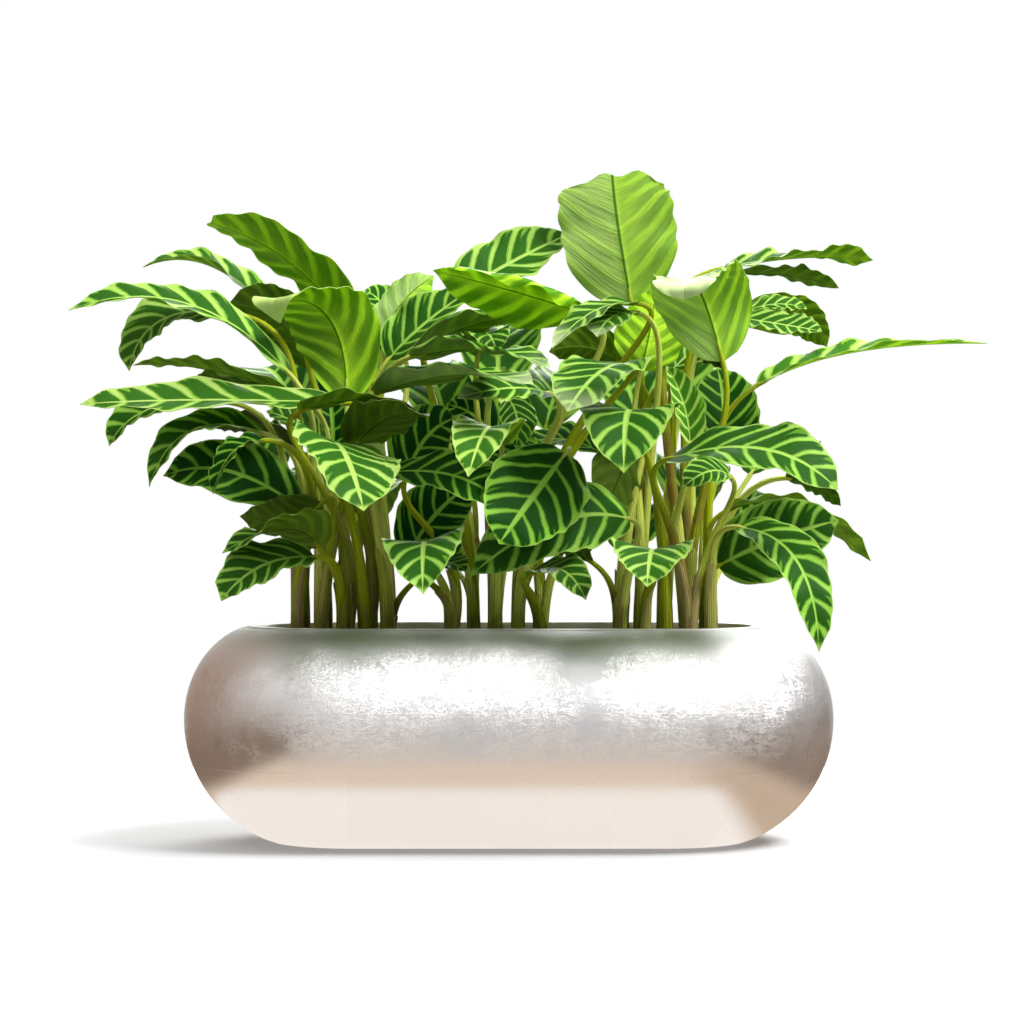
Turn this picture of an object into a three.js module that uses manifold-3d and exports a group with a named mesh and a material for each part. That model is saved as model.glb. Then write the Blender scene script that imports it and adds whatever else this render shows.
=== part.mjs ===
// A potted calathea: three clumps of zebra-striped leaves in one long, pill-shaped planter.
// Millimetres, +Z up, +X along the planter. The origin is the middle of the planter's underside.
// Every shoot of the plant is one solid: its stalks share a foot in the soil and each ends in one leaf.
import * as THREE from 'three';
import { mergeVertices } from 'three/addons/utils/BufferGeometryUtils.js';
import Module from 'manifold-3d';

const wasm = await Module();
wasm.setup();

// ---- Planter and soil: driving dimensions

const PLANTER = { halfLength: 400, halfDepth: 210, height: 265, widestAt: 150, wall: 7, floor: 12 };
const SHOULDER = { inset: 100, rise: 118 }; // half axes of the quarter ellipse above the widest line
const HEEL = { inset: 165, drop: 160 }; // and of the one below it
const SOIL = { edge: 232, top: 240, slope: 60, slack: 0.4 }; // slack is the gap to what it touches
const END_STEPS = 12; // facets round each half-round end
const SHOULDER_STEPS = 5;
const HEEL_STEPS = 4;

// ---- Plant: driving dimensions

const CLUMPS = { left: [-202, 0], middle: [-16, 0], right: [192, 0] }; // middles of the three clumps
const SLOT = { x: 27, y: 25 }; // a shoot's foot stands on this grid within its clump
const STALK = { depth: 58, collar: 14, foot: 7.8, sideFoot: 5.6, apart: 6, lift: 0.6, top: 3.2, taper: 1.5 };
const BLADE = { thickness: 1.2, tip: 1.5, ribAtBase: 2.4, ribAtTip: 0.4 };
const WAVE = { share: 0.045, count: 2.3, stride: 0.618, across: 0.37 }; // of the leaf's margin
const STALK_RINGS = [0, 0.38, 0.72];
const BLADE_RINGS = [0, 0.09, 0.23, 0.4, 0.57, 0.74, 0.9, 1];
const RISE = 0.62; // how far a stalk climbs before it leans, as a share of its span
const REACH = 0.27; // how far it runs in line with its blade

// ---- Leaves: each point is a sighting [column, row, depth]. Column and row are where it is seen in a
// frame of 1024 x 1024 by an eye that looks level along +Y, and depth is its Y in mm.

const EYE = { x: 4, y: -3800, z: 405, column: 512, row: 512, mmPerColumn: 1.235 };

// Shoots: clump, slot of the foot, and leaves. A leaf is [blade's base, middle, tip, width in mm,
// direction of its upper side at the base, the same at the tip, fold along the rib in degrees, youth].
const SHOOTS = [
  ["left", [-2, 0], [
    [[289, 373, -20], [185, 303, -45], [68, 310, -70], 76, [0, -.4, .9], [-.2, -.45, .85], 14, .45],
    [[236, 314, 15], [162, 320, 0], [129, 371, -25], 80, [-.4, -.6, .7], [-.55, -.75, .35], 18, .55],
  ]],
  ["left", [-2, 1], [
    [[307, 366, 85], [226, 273, 105], [143, 267, 110], 70, [-.1, -.15, .97], [-.1, -.25, .95], 20, .6],
  ]],
  ["left", [-1, 1], [
    [[309, 368, 40], [280, 322, 35], [227, 305, 45], 96, [.3, .8, .5], [.3, .8, .5], 10, .2],
    [[296, 396, 45], [210, 369, 60], [133, 365, 65], 52, [0, .3, .95], [0, .2, .97], 12, .3],
    [[282, 404, 130], [232, 384, 150], [190, 388, 160], 66, [0, .45, .9], [0, .45, .9], 12, .1],
  ]],
  ["left", [-1, -1], [
    [[345, 403, -60], [205, 400, -120], [80, 404, -140], 88, [0, -.38, .9], [-.2, -.58, .76], 12, .65],
  ]],
  ["left", [-2, -1], [
    [[266, 434, -70], [192, 430, -90], [149, 487, -100], 60, [-.35, -.45, .8], [-.6, -.7, .35], 22, .35],
    [[225, 402, -20], [150, 409, -35], [109, 446, -45], 62, [-.4, -.6, .7], [-.5, -.75, .4], 24, .35],
  ]],
  ["left", [-1, 0], [
    [[296, 448, 10], [250, 427, 25], [204, 426, 38], 70, [-.1, .45, .88], [-.1, .45, .88], 10, 0],
  ]],
  ["left", [-2, -2], [
    [[300, 508, -50], [228, 471, -40], [163, 476, -30], 88, [-.15, -.8, .55], [-.25, -.7, .6], 12, .1],
  ]],
  ["left", [-1, -2], [
    [[264, 440, -115], [232, 453, -130], [213, 494, -135], 40, [-.4, -.5, .75], [-.6, -.65, .4], 24, .05],
    [[322, 503, -90], [286, 519, -95], [240, 516, -90], 62, [.1, .8, .5], [.1, .8, .5], 10, .2],
  ]],
  ["left", [0, -2], [
    [[320, 548, -110], [284, 528, -140], [222, 553, -165], 88, [-.15, .5, .8], [-.3, -.55, .75], 10, .3],
    [[315, 557, -150], [262, 566, -190], [221, 601, -215], 88, [-.25, -.6, .75], [-.4, -.75, .5], 14, .4],
  ]],
  ["left", [1, -2], [
    [[330, 441, -110], [346, 456, -212], [364, 511, -285], 132, [.32, -.1, .95], [.3, -.85, .5], 8, .55],
  ]],
  ["left", [0, 2], [
    [[362, 352, 60], [298, 268, 60], [208, 222, 50], 98, [.5, .6, .6], [.3, .35, .85], 10, .6],
  ]],
  ["left", [0, -1], [
    [[347, 401, -40], [330, 320, -50], [276, 298, -135], 112, [.05, .95, .25], [-.3, -.4, .85], 6, .8],
  ]],
  ["left", [1, -1], [
    [[352, 449, -70], [388, 418, -112], [430, 416, -145], 86, [.1, .5, .85], [.25, -.15, .95], 10, .2],
    [[300, 411, -95], [355, 399, -140], [417, 410, -165], 60, [0, .2, .98], [0, .2, .98], 8, .3],
  ]],
  ["left", [0, 1], [
    [[333, 455, 60], [332, 415, 75], [326, 368, 95], 86, [0, -.97, .2], [0, -.97, .2], 10, 0],
    [[322, 445, -30], [298, 424, -25], [266, 411, -20], 52, [.3, -.6, .7], [.3, -.6, .7], 14, .5],
  ]],
  ["left", [1, 1], [
    [[384, 346, 80], [400, 306, 95], [434, 276, 110], 66, [.5, .8, .3], [.5, .8, .3], 8, .9],
    [[389, 359, 25], [422, 326, 25], [470, 290, 30], 92, [-.45, -.7, .55], [-.45, -.7, .55], 18, .35],
  ]],
  ["left", [2, -2], [
    [[392, 472, -130], [458, 477, -180], [506, 508, -205], 72, [.1, -.7, .65], [.2, -.85, .4], 12, .15],
  ]],
  ["left", [2, -1], [
    [[376, 393, -55], [456, 374, -130], [534, 385, -190], 108, [0, .3, .95], [.15, -.35, .9], 12, .3],
  ]],
  ["left", [2, 0], [
    [[411, 357, -60], [482, 349, -105], [550, 367, -150], 108, [0, .3, .95], [.25, -.45, .85], 10, .3],
    [[418, 578, -60], [442, 562, -100], [467, 572, -120], 56, [.1, -.3, .95], [.1, -.6, .75], 10, .2],
  ]],
  ["left", [2, 1], [
    [[412, 354, -10], [490, 320, -20], [568, 326, -50], 84, [0, .45, .9], [.1, -.1, .98], 10, .35],
  ]],
  ["left", [1, 2], [
    [[352, 400, 150], [368, 330, 220], [384, 318, 330], 116, [0, -.9, .4], [0, .35, .95], 12, .3],
    [[356, 520, 140], [366, 482, 210], [374, 532, 290], 102, [0, -.9, .4], [0, .35, .95], 12, .15],
    [[400, 338, 160], [384, 306, 165], [364, 290, 165], 60, [0, -.6, .8], [0, -.6, .8], 12, .2],
  ]],
  ["left", [-1, 2], [
    [[300, 420, 150], [270, 370, 215], [245, 385, 305], 108, [.2, -.9, .4], [-.1, .35, .95], 12, .25],
    [[312, 505, 140], [290, 470, 205], [276, 520, 280], 98, [.1, -.9, .4], [-.1, .35, .95], 12, .2],
  ]],
  ["left", [-2, 2], [
    [[280, 470, 130], [240, 440, 190], [205, 480, 270], 98, [.4, -.8, .4], [-.3, .3, .95], 12, .2],
  ]],
  ["middle", [-2, -2], [
    [[430, 560, -105], [424, 543, -190], [423, 594, -255], 102, [-.12, -.1, 1], [-.12, -.85, .45], 10, .4],
  ]],
  ["middle", [0, -2], [
    [[501, 446, -110], [488, 428, -205], [468, 477, -265], 86, [0, -.1, 1], [-.2, -.85, .5], 16, .7],
  ]],
  ["middle", [1, -2], [
    [[566, 453, -130], [532, 498, -200], [499, 544, -225], 122, [.1, -.95, .35], [.1, -.95, .35], 8, .15],
  ]],
  ["middle", [2, -2], [
    [[526, 577, -110], [560, 569, -165], [586, 600, -195], 58, [0, -.5, .85], [.2, -.8, .5], 14, .5],
  ]],
  ["middle", [1, -1], [
    [[632, 364, -115], [600, 372, -200], [567, 412, -255], 112, [-.1, -.2, .95], [-.15, -.65, .75], 8, .4],
  ]],
  ["middle", [0, -1], [
    [[549, 393, -120], [510, 388, -160], [457, 398, -185], 62, [0, -.65, .75], [0, -.65, .75], 12, .4],
    [[478, 356, -60], [487, 334, -110], [497, 353, -145], 62, [-.05, -.1, 1], [0, -.8, .55], 12, .4],
  ]],
  ["middle", [-2, -1], [
    [[405, 480, -40], [426, 438, -50], [456, 418, -60], 84, [0, -.92, .35], [0, -.92, .35], 10, .05],
    [[408, 556, -10], [436, 514, -20], [474, 482, -30], 90, [0, -.92, .35], [0, -.92, .35], 10, 0],
  ]],
  ["middle", [2, 0], [
    [[500, 454, -10], [480, 420, -10], [446, 404, 0], 74, [0, -.93, .35], [0, -.93, .35], 10, 0],
    [[572, 484, -40], [526, 470, -60], [478, 480, -75], 84, [0, -.9, .4], [0, -.9, .4], 10, 0],
  ]],
  ["middle", [0, 0], [
    [[584, 313, -30], [518, 292, -60], [433, 270, -75], 88, [.1, .75, .6], [.1, .85, .5], -14, .95],
  ]],
  ["middle", [-1, 0], [
    [[452, 297, 60], [510, 263, 75], [571, 233, 95], 98, [-.3, -.75, .55], [-.3, -.75, .55], 14, .5],
  ]],
  ["middle", [1, 0], [
    [[637, 303, -30], [594, 311, -75], [552, 348, -110], 56, [-.2, -.35, .9], [-.2, -.35, .9], 10, .5],
  ]],
  ["middle", [0, 1], [
    [[508, 398, 20], [517, 418, 10], [516, 448, 5], 52, [.3, -.85, .3], [.3, -.85, .3], 12, .3],
    [[500, 400, 110], [500, 330, 190], [515, 330, 300], 118, [0, -.9, .4], [0, .35, .95], 12, .35],
    [[506, 500, 130], [515, 462, 205], [524, 515, 285], 100, [0, -.9, .4], [0, .35, .95], 12, .2],
  ]],
  ["middle", [-1, 1], [
    [[450, 440, 120], [430, 375, 190], [415, 390, 290], 108, [.1, -.9, .4], [-.1, .35, .95], 12, .25],
    [[470, 480, 100], [455, 440, 150], [448, 470, 230], 92, [.1, -.9, .4], [-.1, .35, .95], 12, .15],
    [[454, 560, 110], [440, 530, 170], [430, 585, 235], 86, [.1, -.9, .4], [-.1, .35, .95], 12, .1],
  ]],
  ["middle", [1, 1], [
    [[545, 430, 120], [565, 380, 190], [585, 400, 285], 106, [-.1, -.9, .4], [.1, .35, .95], 12, .3],
    [[552, 540, 110], [570, 512, 180], [586, 560, 245], 88, [-.1, -.9, .4], [.1, .35, .95], 12, .15],
  ]],
  ["right", [-2, -2], [
    [[630, 519, -90], [556, 522, -150], [470, 576, -175], 98, [0, -.9, .45], [0, -.9, .45], 8, .3],
  ]],
  ["right", [-2, 1], [
    [[600, 452, 40], [560, 439, 50], [518, 446, 55], 72, [0, -.4, .9], [0, -.4, .9], 12, .1],
  ]],
  ["right", [-2, -1], [
    [[636, 446, -30], [620, 474, -42], [606, 514, -55], 78, [-.1, .85, .5], [-.1, .85, .5], 10, .1],
    [[592, 562, -50], [568, 551, -60], [546, 557, -65], 34, [0, .3, .95], [0, .3, .95], 10, .1],
  ]],
  ["right", [-1, -2], [
    [[658, 563, -140], [652, 550, -220], [647, 587, -280], 100, [0, -.1, 1], [0, -.85, .5], 10, .5],
  ]],
  ["right", [0, -2], [
    [[640, 432, -120], [628, 412, -200], [624, 473, -265], 124, [0, -.1, 1], [-.05, -.85, .5], 10, .4],
  ]],
  ["right", [-1, -1], [
    [[641, 371, -95], [650, 330, -85], [657, 286, -40], 90, [.1, .95, .2], [.1, .95, .2], 8, .7],
  ]],
  ["right", [-1, 1], [
    [[632, 306, 0], [618, 226, 20], [612, 169, 60], 152, [0, .97, .12], [0, .97, .2], 8, .6],
  ]],
  ["right", [1, -1], [
    [[723, 362, -60], [699, 289, -72], [684, 286, -150], 124, [.05, .95, .3], [-.1, -.45, .85], 8, .95],
  ]],
  ["right", [0, 0], [
    [[690, 444, -80], [684, 405, -85], [667, 366, -85], 52, [.3, -.9, .1], [.3, -.9, .1], 38, 1],
  ]],
  ["right", [-1, 0], [
    [[668, 374, 10], [690, 353, 15], [715, 334, 20], 56, [-.5, -.7, .5], [-.5, -.7, .5], 10, .7],
    [[624, 366, 20], [588, 348, 15], [549, 352, 10], 64, [0, .8, .5], [0, .8, .5], 10, .25],
    [[634, 312, -60], [612, 317, -95], [597, 337, -120], 62, [-.2, -.55, .8], [-.2, -.55, .8], 10, .5],
  ]],
  ["right", [1, -2], [
    [[668, 459, -150], [764, 449, -225], [838, 490, -255], 108, [0, -.5, .85], [.2, -.7, .65], 8, .35],
    [[730, 476, -90], [710, 471, -115], [683, 487, -130], 52, [-.1, -.75, .6], [-.1, -.75, .6], 12, .3],
  ]],
  ["right", [2, -2], [
    [[738, 527, -150], [797, 561, -215], [819, 652, -235], 66, [.1, -.75, .65], [.35, -.85, .35], 12, .3],
  ]],
  ["right", [2, -1], [
    [[718, 566, -60], [776, 539, -100], [839, 520, -115], 100, [0, -.97, .2], [0, -.97, .2], 6, .3],
    [[724, 512, -40], [792, 506, -60], [871, 561, -70], 70, [0, -.05, 1], [.75, .62, .35], 12, .35],
  ]],
  ["right", [2, 0], [
    [[757, 385, 0], [850, 352, 20], [987, 343, 40], 56, [0, -.25, .96], [0, 0, 1], 18, .9],
  ]],
  ["right", [1, 0], [
    [[722, 268, 50], [800, 257, 60], [873, 260, 70], 68, [0, -.3, .95], [.1, .75, .65], 12, .6],
  ]],
  ["right", [0, 1], [
    [[732, 273, 100], [790, 275, 125], [839, 288, 135], 42, [0, .2, .97], [.1, .75, .65], 12, .25],
  ]],
  ["right", [2, 1], [
    [[720, 460, 60], [724, 410, 60], [717, 367, 75], 94, [.1, -.95, .3], [.1, -.95, .3], 8, .15],
    [[724, 373, 130], [710, 358, 140], [684, 350, 150], 46, [.5, .4, .75], [.5, .4, .75], 10, 0],
  ]],
  ["right", [1, 1], [
    [[738, 320, 30], [796, 317, 20], [827, 347, 0], 62, [.4, .75, .45], [.4, .75, .45], 8, .4],
    [[738, 317, -40], [786, 325, -70], [822, 331, -90], 50, [0, -.6, .8], [0, -.6, .8], 12, .5],
    [[740, 313, -10], [776, 304, -20], [807, 309, -25], 34, [0, -.6, .8], [0, -.6, .8], 12, .5],
  ]],
  ["right", [2, 2], [
    [[786, 478, -10], [816, 485, -35], [841, 506, -50], 40, [.3, .6, .6], [.3, .6, .6], 10, .15],
    [[750, 475, 140], [782, 442, 200], [808, 458, 285], 92, [-.4, -.8, .4], [.3, .3, .95], 12, .25],
    [[742, 540, 120], [776, 512, 170], [806, 556, 215], 88, [-.4, -.8, .4], [.3, .3, .95], 12, .2],
  ]],
  ["right", [0, 2], [
    [[680, 400, 150], [690, 320, 220], [700, 320, 330], 114, [0, -.9, .4], [0, .35, .95], 12, .3],
    [[682, 510, 140], [692, 470, 215], [698, 522, 290], 102, [0, -.9, .4], [0, .35, .95], 12, .2],
  ]],
  ["right", [-1, 2], [
    [[640, 430, 150], [620, 370, 215], [605, 385, 310], 106, [.1, -.9, .4], [-.1, .35, .95], 12, .25],
    [[642, 545, 130], [632, 508, 200], [622, 560, 270], 94, [.1, -.9, .4], [-.1, .35, .95], 12, .15],
  ]],
];

// ---- Closed solids from rings of points

function solidFrom(positions, triangles) {
  const mesh = new wasm.Mesh({
    numProp: 3,
    vertProperties: new Float32Array(positions),
    triVerts: new Uint32Array(triangles),
  });
  return new wasm.Manifold(mesh);
}

// Joins equal rings of points into a closed skin. Each end is closed by a fan from its first point.
function loft(rings) {
  const count = rings[0].length;
  const positions = rings.flat().flatMap((p) => [p.x, p.y, p.z]);
  const triangles = [];
  for (let r = 0; r < rings.length - 1; r += 1) {
    for (let i = 0; i < count; i += 1) {
      const a = r * count + i;
      const b = r * count + ((i + 1) % count);
      const c = b + count;
      const d = a + count;
      triangles.push(...(diagonalFlips(i, count) ? [a, b, d, b, c, d] : [a, b, c, a, c, d]));
    }
  }
  const last = (rings.length - 1) * count;
  for (let i = 1; i < count - 1; i += 1) {
    triangles.push(0, i + 1, i, last, last + i, last + i + 1);
  }
  return solidFrom(positions, triangles);
}

// A leaf's section has six points, and its two faces are split into triangles alike.
function diagonalFlips(i, count) {
  return count === 6 && i % 3 === 2;
}

function geometryOf(solid) {
  const { vertProperties, triVerts } = solid.getMesh();
  const geometry = new THREE.BufferGeometry();
  geometry.setAttribute('position', new THREE.BufferAttribute(new Float32Array(vertProperties), 3));
  geometry.setIndex(new THREE.BufferAttribute(new Uint32Array(triVerts), 1));
  return mergeVertices(geometry);
}

// ---- Planter: one profile carried round a stadium-shaped plan

function stadium(inset, z) {
  const radius = PLANTER.halfDepth - inset;
  const straight = PLANTER.halfLength - PLANTER.halfDepth;
  const points = [];
  for (const side of [1, -1]) {
    for (let i = 0; i <= END_STEPS; i += 1) {
      const angle = -Math.PI / 2 + (Math.PI * i) / END_STEPS;
      const x = straight + radius * Math.cos(angle);
      points.push(new THREE.Vector3(side * x, side * radius * Math.sin(angle), z));
    }
  }
  return points;
}

// A point of the profile at an angle above (or below) the widest line, set in by a distance from the face.
function profilePoint(ellipse, rise, angle, setIn) {
  const cos = Math.cos(angle);
  const sin = Math.sin(angle);
  const steep = Math.hypot(cos / ellipse.inset, sin / rise);
  return {
    inset: ellipse.inset * (1 - cos) + (setIn * cos) / ellipse.inset / steep,
    z: PLANTER.widestAt + rise * sin - (setIn * sin) / rise / steep,
  };
}

function profile(setIn, lowest, highest) {
  const points = [];
  const heelEnd = Math.asin((PLANTER.widestAt - lowest) / (HEEL.drop - setIn));
  for (let i = 0; i < HEEL_STEPS; i += 1) {
    points.push(profilePoint(HEEL, -HEEL.drop, heelEnd * (1 - i / HEEL_STEPS), setIn));
  }
  const shoulderEnd = Math.asin((highest - PLANTER.widestAt) / SHOULDER.rise);
  for (let i = 0; i <= SHOULDER_STEPS; i += 1) {
    points.push(profilePoint(SHOULDER, SHOULDER.rise, (shoulderEnd * i) / SHOULDER_STEPS, setIn));
  }
  return points;
}

function makePlanter() {
  const outer = profile(0, 0, PLANTER.height);
  const inner = profile(PLANTER.wall, PLANTER.floor, PLANTER.height);
  inner[0].z = PLANTER.floor;
  const wall = [...outer, ...inner.reverse()];
  return loft(wall.map(({ inset, z }) => stadium(inset, z)));
}

// The soil follows the planter's inner face, a little clear of it, and rises to the middle.
function makeSoil() {
  const setIn = PLANTER.wall + SOIL.slack;
  const wall = profile(setIn, PLANTER.floor, PLANTER.height).filter(({ z }) => z < SOIL.edge);
  wall[0].z = PLANTER.floor + SOIL.slack;
  const rim = wall.at(-1);
  const rings = wall.map(({ inset, z }) => stadium(inset, z));
  rings.push(stadium(rim.inset + SOIL.slope, SOIL.top));
  return loft(rings);
}

// ---- Fronds: a stalk that opens into a folded, wavy blade

function sighted([column, row, depth], shift) {
  const y = depth + shift;
  const scale = EYE.mmPerColumn * (1 - y / EYE.y);
  return new THREE.Vector3(EYE.x + (column - EYE.column) * scale, y, EYE.z - (row - EYE.row) * scale);
}

const mix = (a, b, t) => a + (b - a) * t;
const mixed = (a, b, t) => new THREE.Vector3().lerpVectors(a, b, t);

// The part of a direction that is square to the tangent.
function squareTo(direction, tangent) {
  return direction.clone().addScaledVector(tangent, -direction.dot(tangent));
}

// How wide the blade is along its rib, from 0 at its base to 1 where it is widest.
function outline(u) {
  return Math.sin(Math.PI * u ** 0.85) ** 0.58;
}

// Rings of six points: rib, right margin, right margin below, rib below, left margin below, left margin.
function bladeRings(leaf, index, shift, swell) {
  const [basePoint, midPoint, tipPoint, width, face, tipFace, fold] = leaf;
  const base = sighted(basePoint, shift);
  const mid = sighted(midPoint, shift);
  const tip = sighted(tipPoint, shift);
  const control = mid.clone().multiplyScalar(2).addScaledVector(base, -0.5).addScaledVector(tip, -0.5);
  const curve = new THREE.QuadraticBezierCurve3(base, control, tip);
  const angle = THREE.MathUtils.degToRad(fold);
  const rings = [];
  for (const u of BLADE_RINGS) {
    const centre = curve.getPoint(u);
    const along = curve.getTangent(u);
    const up = squareTo(mixed(new THREE.Vector3(...face), new THREE.Vector3(...tipFace), u * u), along);
    up.normalize();
    const right = new THREE.Vector3().crossVectors(along, up);
    if (u === 0) {
      rings.push({ centre, along, up, right, points: stalkSection(centre, up, right, STALK.top + swell) });
      continue;
    }
    const half = (u === 1 ? BLADE.tip : (width / 2) * outline(u)) + swell;
    const lift = BLADE.thickness / 2 + swell;
    const rib = lift + mix(BLADE.ribAtBase, BLADE.ribAtTip, u);
    const margins = [1, -1].map((side) => {
      const phase = index * WAVE.stride + side * WAVE.across;
      const wave = u === 1 ? 0 : width * WAVE.share * Math.sin(2 * Math.PI * (WAVE.count * u + phase));
      return centre.clone().addScaledVector(right, side * half * Math.cos(angle))
        .addScaledVector(up, half * Math.sin(angle) + wave * outline(u));
    });
    const [east, west] = margins;
    rings.push({ centre, along, up, right, points: [
      centre.clone().addScaledVector(up, lift),
      east.clone().addScaledVector(up, lift),
      east.clone().addScaledVector(up, -lift),
      centre.clone().addScaledVector(up, -rib),
      west.clone().addScaledVector(up, -lift),
      west.clone().addScaledVector(up, lift),
    ] });
  }
  return rings;
}

function stalkSection(centre, up, right, radius) {
  const points = [];
  for (let i = 0; i < 6; i += 1) {
    const angle = (Math.PI * i) / 3;
    points.push(centre.clone().addScaledVector(up, radius * Math.cos(angle))
      .addScaledVector(right, radius * Math.sin(angle)));
  }
  return points;
}

// The stalk is upright as far as its collar. There it starts to climb, leans by its bow and runs into
// the blade's rib.
function stalkRings(foot, radius, blade, bow, swell) {
  const collar = foot.clone().setZ(SOIL.top + STALK.collar);
  const span = collar.distanceTo(blade.centre);
  const climb = new THREE.Vector3(collar.x + bow[0], collar.y + bow[1], collar.z + span * RISE);
  const arrive = blade.centre.clone().addScaledVector(blade.along, -span * REACH);
  const curve = new THREE.CubicBezierCurve3(collar, climb, arrive, blade.centre);
  let up = blade.up.clone();
  const rings = [];
  for (const s of [...STALK_RINGS].reverse()) {
    const along = curve.getTangent(s);
    up = squareTo(up, along).normalize();
    const right = new THREE.Vector3().crossVectors(along, up);
    const thick = mix(STALK.top, radius, (1 - s) ** STALK.taper) + swell;
    rings.unshift(stalkSection(curve.getPoint(s), up, right, thick));
  }
  rings.unshift(rings[0].map((point) => point.clone().setZ(foot.z)));
  return rings;
}

// A frond in two pieces that meet, so that each can be tested for room on its own.
function makeFrond(frond, shift, bow, swell) {
  const blade = bladeRings(frond.leaf, frond.index, shift, swell);
  const stalk = stalkRings(frond.foot, frond.radius, blade[0], bow, swell);
  const leafRings = blade.map(({ points }) => points);
  return { stalk: [...stalk, leafRings[0]], blade: leafRings };
}

function boxed(rings) {
  return { solid: loft(rings), box: new THREE.Box3().setFromPoints(rings.flat()) };
}

function touch(a, b) {
  if (!a.box.intersectsBox(b.box)) return false;
  const shared = a.solid.intersect(b.solid);
  const touching = !shared.isEmpty();
  shared.delete();
  return touching;
}

// ---- Room: a frond is moved towards or away from the eye, and its stalk is bowed, until it is clear

const SHIFTS = [0];
for (let shift = 7; shift <= 98; shift += 7) SHIFTS.push(shift, -shift);
const BOWS = [[0, 0]];
for (const reach of [14, 28, 44]) {
  for (let turn = 0; turn < 8; turn += 1) {
    const angle = (turn * Math.PI) / 4;
    BOWS.push([reach * Math.cos(angle), reach * Math.sin(angle)]);
  }
}
const CLEARANCE = 1.3; // mm that a frond keeps from its neighbours

function findRoom(frond, placed, planter) {
  for (const shift of SHIFTS) {
    const rings = bladeRings(frond.leaf, frond.index, shift, CLEARANCE);
    const blade = boxed(rings.map(({ points }) => points));
    const blocked = touch(blade, planter) || placed.some((other) => (
      touch(blade, other.blade) || (other.shoot !== frond.shoot && touch(blade, other.stalk))));
    if (!blocked) {
      for (const bow of BOWS) {
        const climb = stalkRings(frond.foot, frond.radius, rings[0], bow, CLEARANCE);
        const stalk = boxed([...climb, rings[0].points]);
        const crossed = touch(stalk, planter) || placed.some((other) => (
          other.shoot !== frond.shoot && (touch(stalk, other.blade) || touch(stalk, other.stalk))));
        stalk.solid.delete();
        if (!crossed) {
          blade.solid.delete();
          return { shift, bow };
        }
      }
    }
    blade.solid.delete();
  }
  return null;
}

// A side stalk grows out of the main one just above the soil, on the side of its own leaf.
function standApart(foot, leaf) {
  foot.add(sighted(leaf[0], 0).sub(foot).setZ(0).setLength(STALK.apart));
  foot.z = SOIL.top + STALK.lift;
}

function listFronds() {
  const fronds = [];
  SHOOTS.forEach(([clump, [column, row], leaves], shoot) => {
    const number = SHOOTS.slice(0, shoot + 1).filter(([name]) => name === clump).length;
    const [x, y] = CLUMPS[clump];
    leaves.forEach((leaf, i) => {
      const foot = new THREE.Vector3(x + column * SLOT.x, y + row * SLOT.y, SOIL.top - STALK.depth);
      if (i > 0) standApart(foot, leaf);
      const radius = i === 0 ? STALK.foot : STALK.sideFoot;
      const name = `${clump}_shoot_${String(number).padStart(2, '0')}`;
      fronds.push({ name, shoot, leaf, foot, radius, index: fronds.length });
    });
  });
  return fronds;
}

// Fronds nearest the eye are placed first, each one clear of all that stand already.
function placeFronds(fronds, planter) {
  const depth = ({ leaf }) => leaf[0][2] + leaf[1][2] + leaf[2][2];
  const placed = [];
  for (const frond of [...fronds].sort((a, b) => depth(a) - depth(b))) {
    const room = findRoom(frond, placed, planter);
    if (!room) throw new Error(`leaf ${frond.index} of ${frond.name} has no room`);
    const { stalk, blade } = makeFrond(frond, room.shift, room.bow, 0);
    const rings = [...stalk, ...blade.slice(1)];
    placed.push({ ...frond, ...room, stalk: boxed(stalk), blade: boxed(blade), rings });
  }
  return placed;
}

// ---- The scene graph

const COLOURS = {
  planter: { color: 0xd9d6cf, roughness: 0.32, metalness: 0.85 },
  soil: { color: 0x2e231b, roughness: 0.95, metalness: 0 },
  old: new THREE.Color(0x3a6a2e),
  young: new THREE.Color(0xa6c24a),
};

function addMesh(group, name, solid, material) {
  const mesh = new THREE.Mesh(geometryOf(solid), material);
  mesh.name = name;
  group.add(mesh);
}

// The plain hole that a shoot stands in, a little wider and deeper than its foot.
function holeFor({ leaf, index, foot, radius, shift, bow }) {
  const blade = bladeRings(leaf, index, shift, 0);
  const [bottom, top] = stalkRings(foot, radius, blade[0], bow, SOIL.slack);
  return loft([bottom.map((point) => point.clone().setZ(point.z - SOIL.slack)), top]);
}

function makeModel() {
  const group = new THREE.Group();
  const planter = makePlanter();
  const corners = [...stadium(0, 0), ...stadium(0, PLANTER.height)];
  const walls = { solid: planter, box: new THREE.Box3().setFromPoints(corners) };
  const placed = placeFronds(listFronds(), walls);
  let soil = makeSoil();
  const shoots = new Map();
  for (const frond of placed) {
    if (frond.foot.z < SOIL.top) soil = soil.subtract(holeFor(frond));
    const solid = loft(frond.rings);
    const grown = shoots.get(frond.name);
    const shoot = grown ? { ...grown, solid: grown.solid.add(solid) } : { solid, youth: frond.leaf[7] };
    shoots.set(frond.name, shoot);
  }
  addMesh(group, 'planter', planter, new THREE.MeshStandardMaterial(COLOURS.planter));
  addMesh(group, 'soil', soil, new THREE.MeshStandardMaterial(COLOURS.soil));
  for (const [name, { solid, youth }] of shoots) {
    const color = COLOURS.old.clone().lerp(COLOURS.young, youth);
    addMesh(group, name, solid, new THREE.MeshStandardMaterial({ color, roughness: 0.45, metalness: 0 }));
  }
  return group;
}

export default makeModel();
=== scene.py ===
"""The looks of a potted calathea: three clumps of zebra-striped leaves in a silver-leafed planter.

Metres, +Z up, +X along the planter. The origin is the middle of the planter's underside.
"""
import math
import random

import bpy
import numpy as np
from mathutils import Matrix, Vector
from mathutils.kdtree import KDTree


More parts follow.
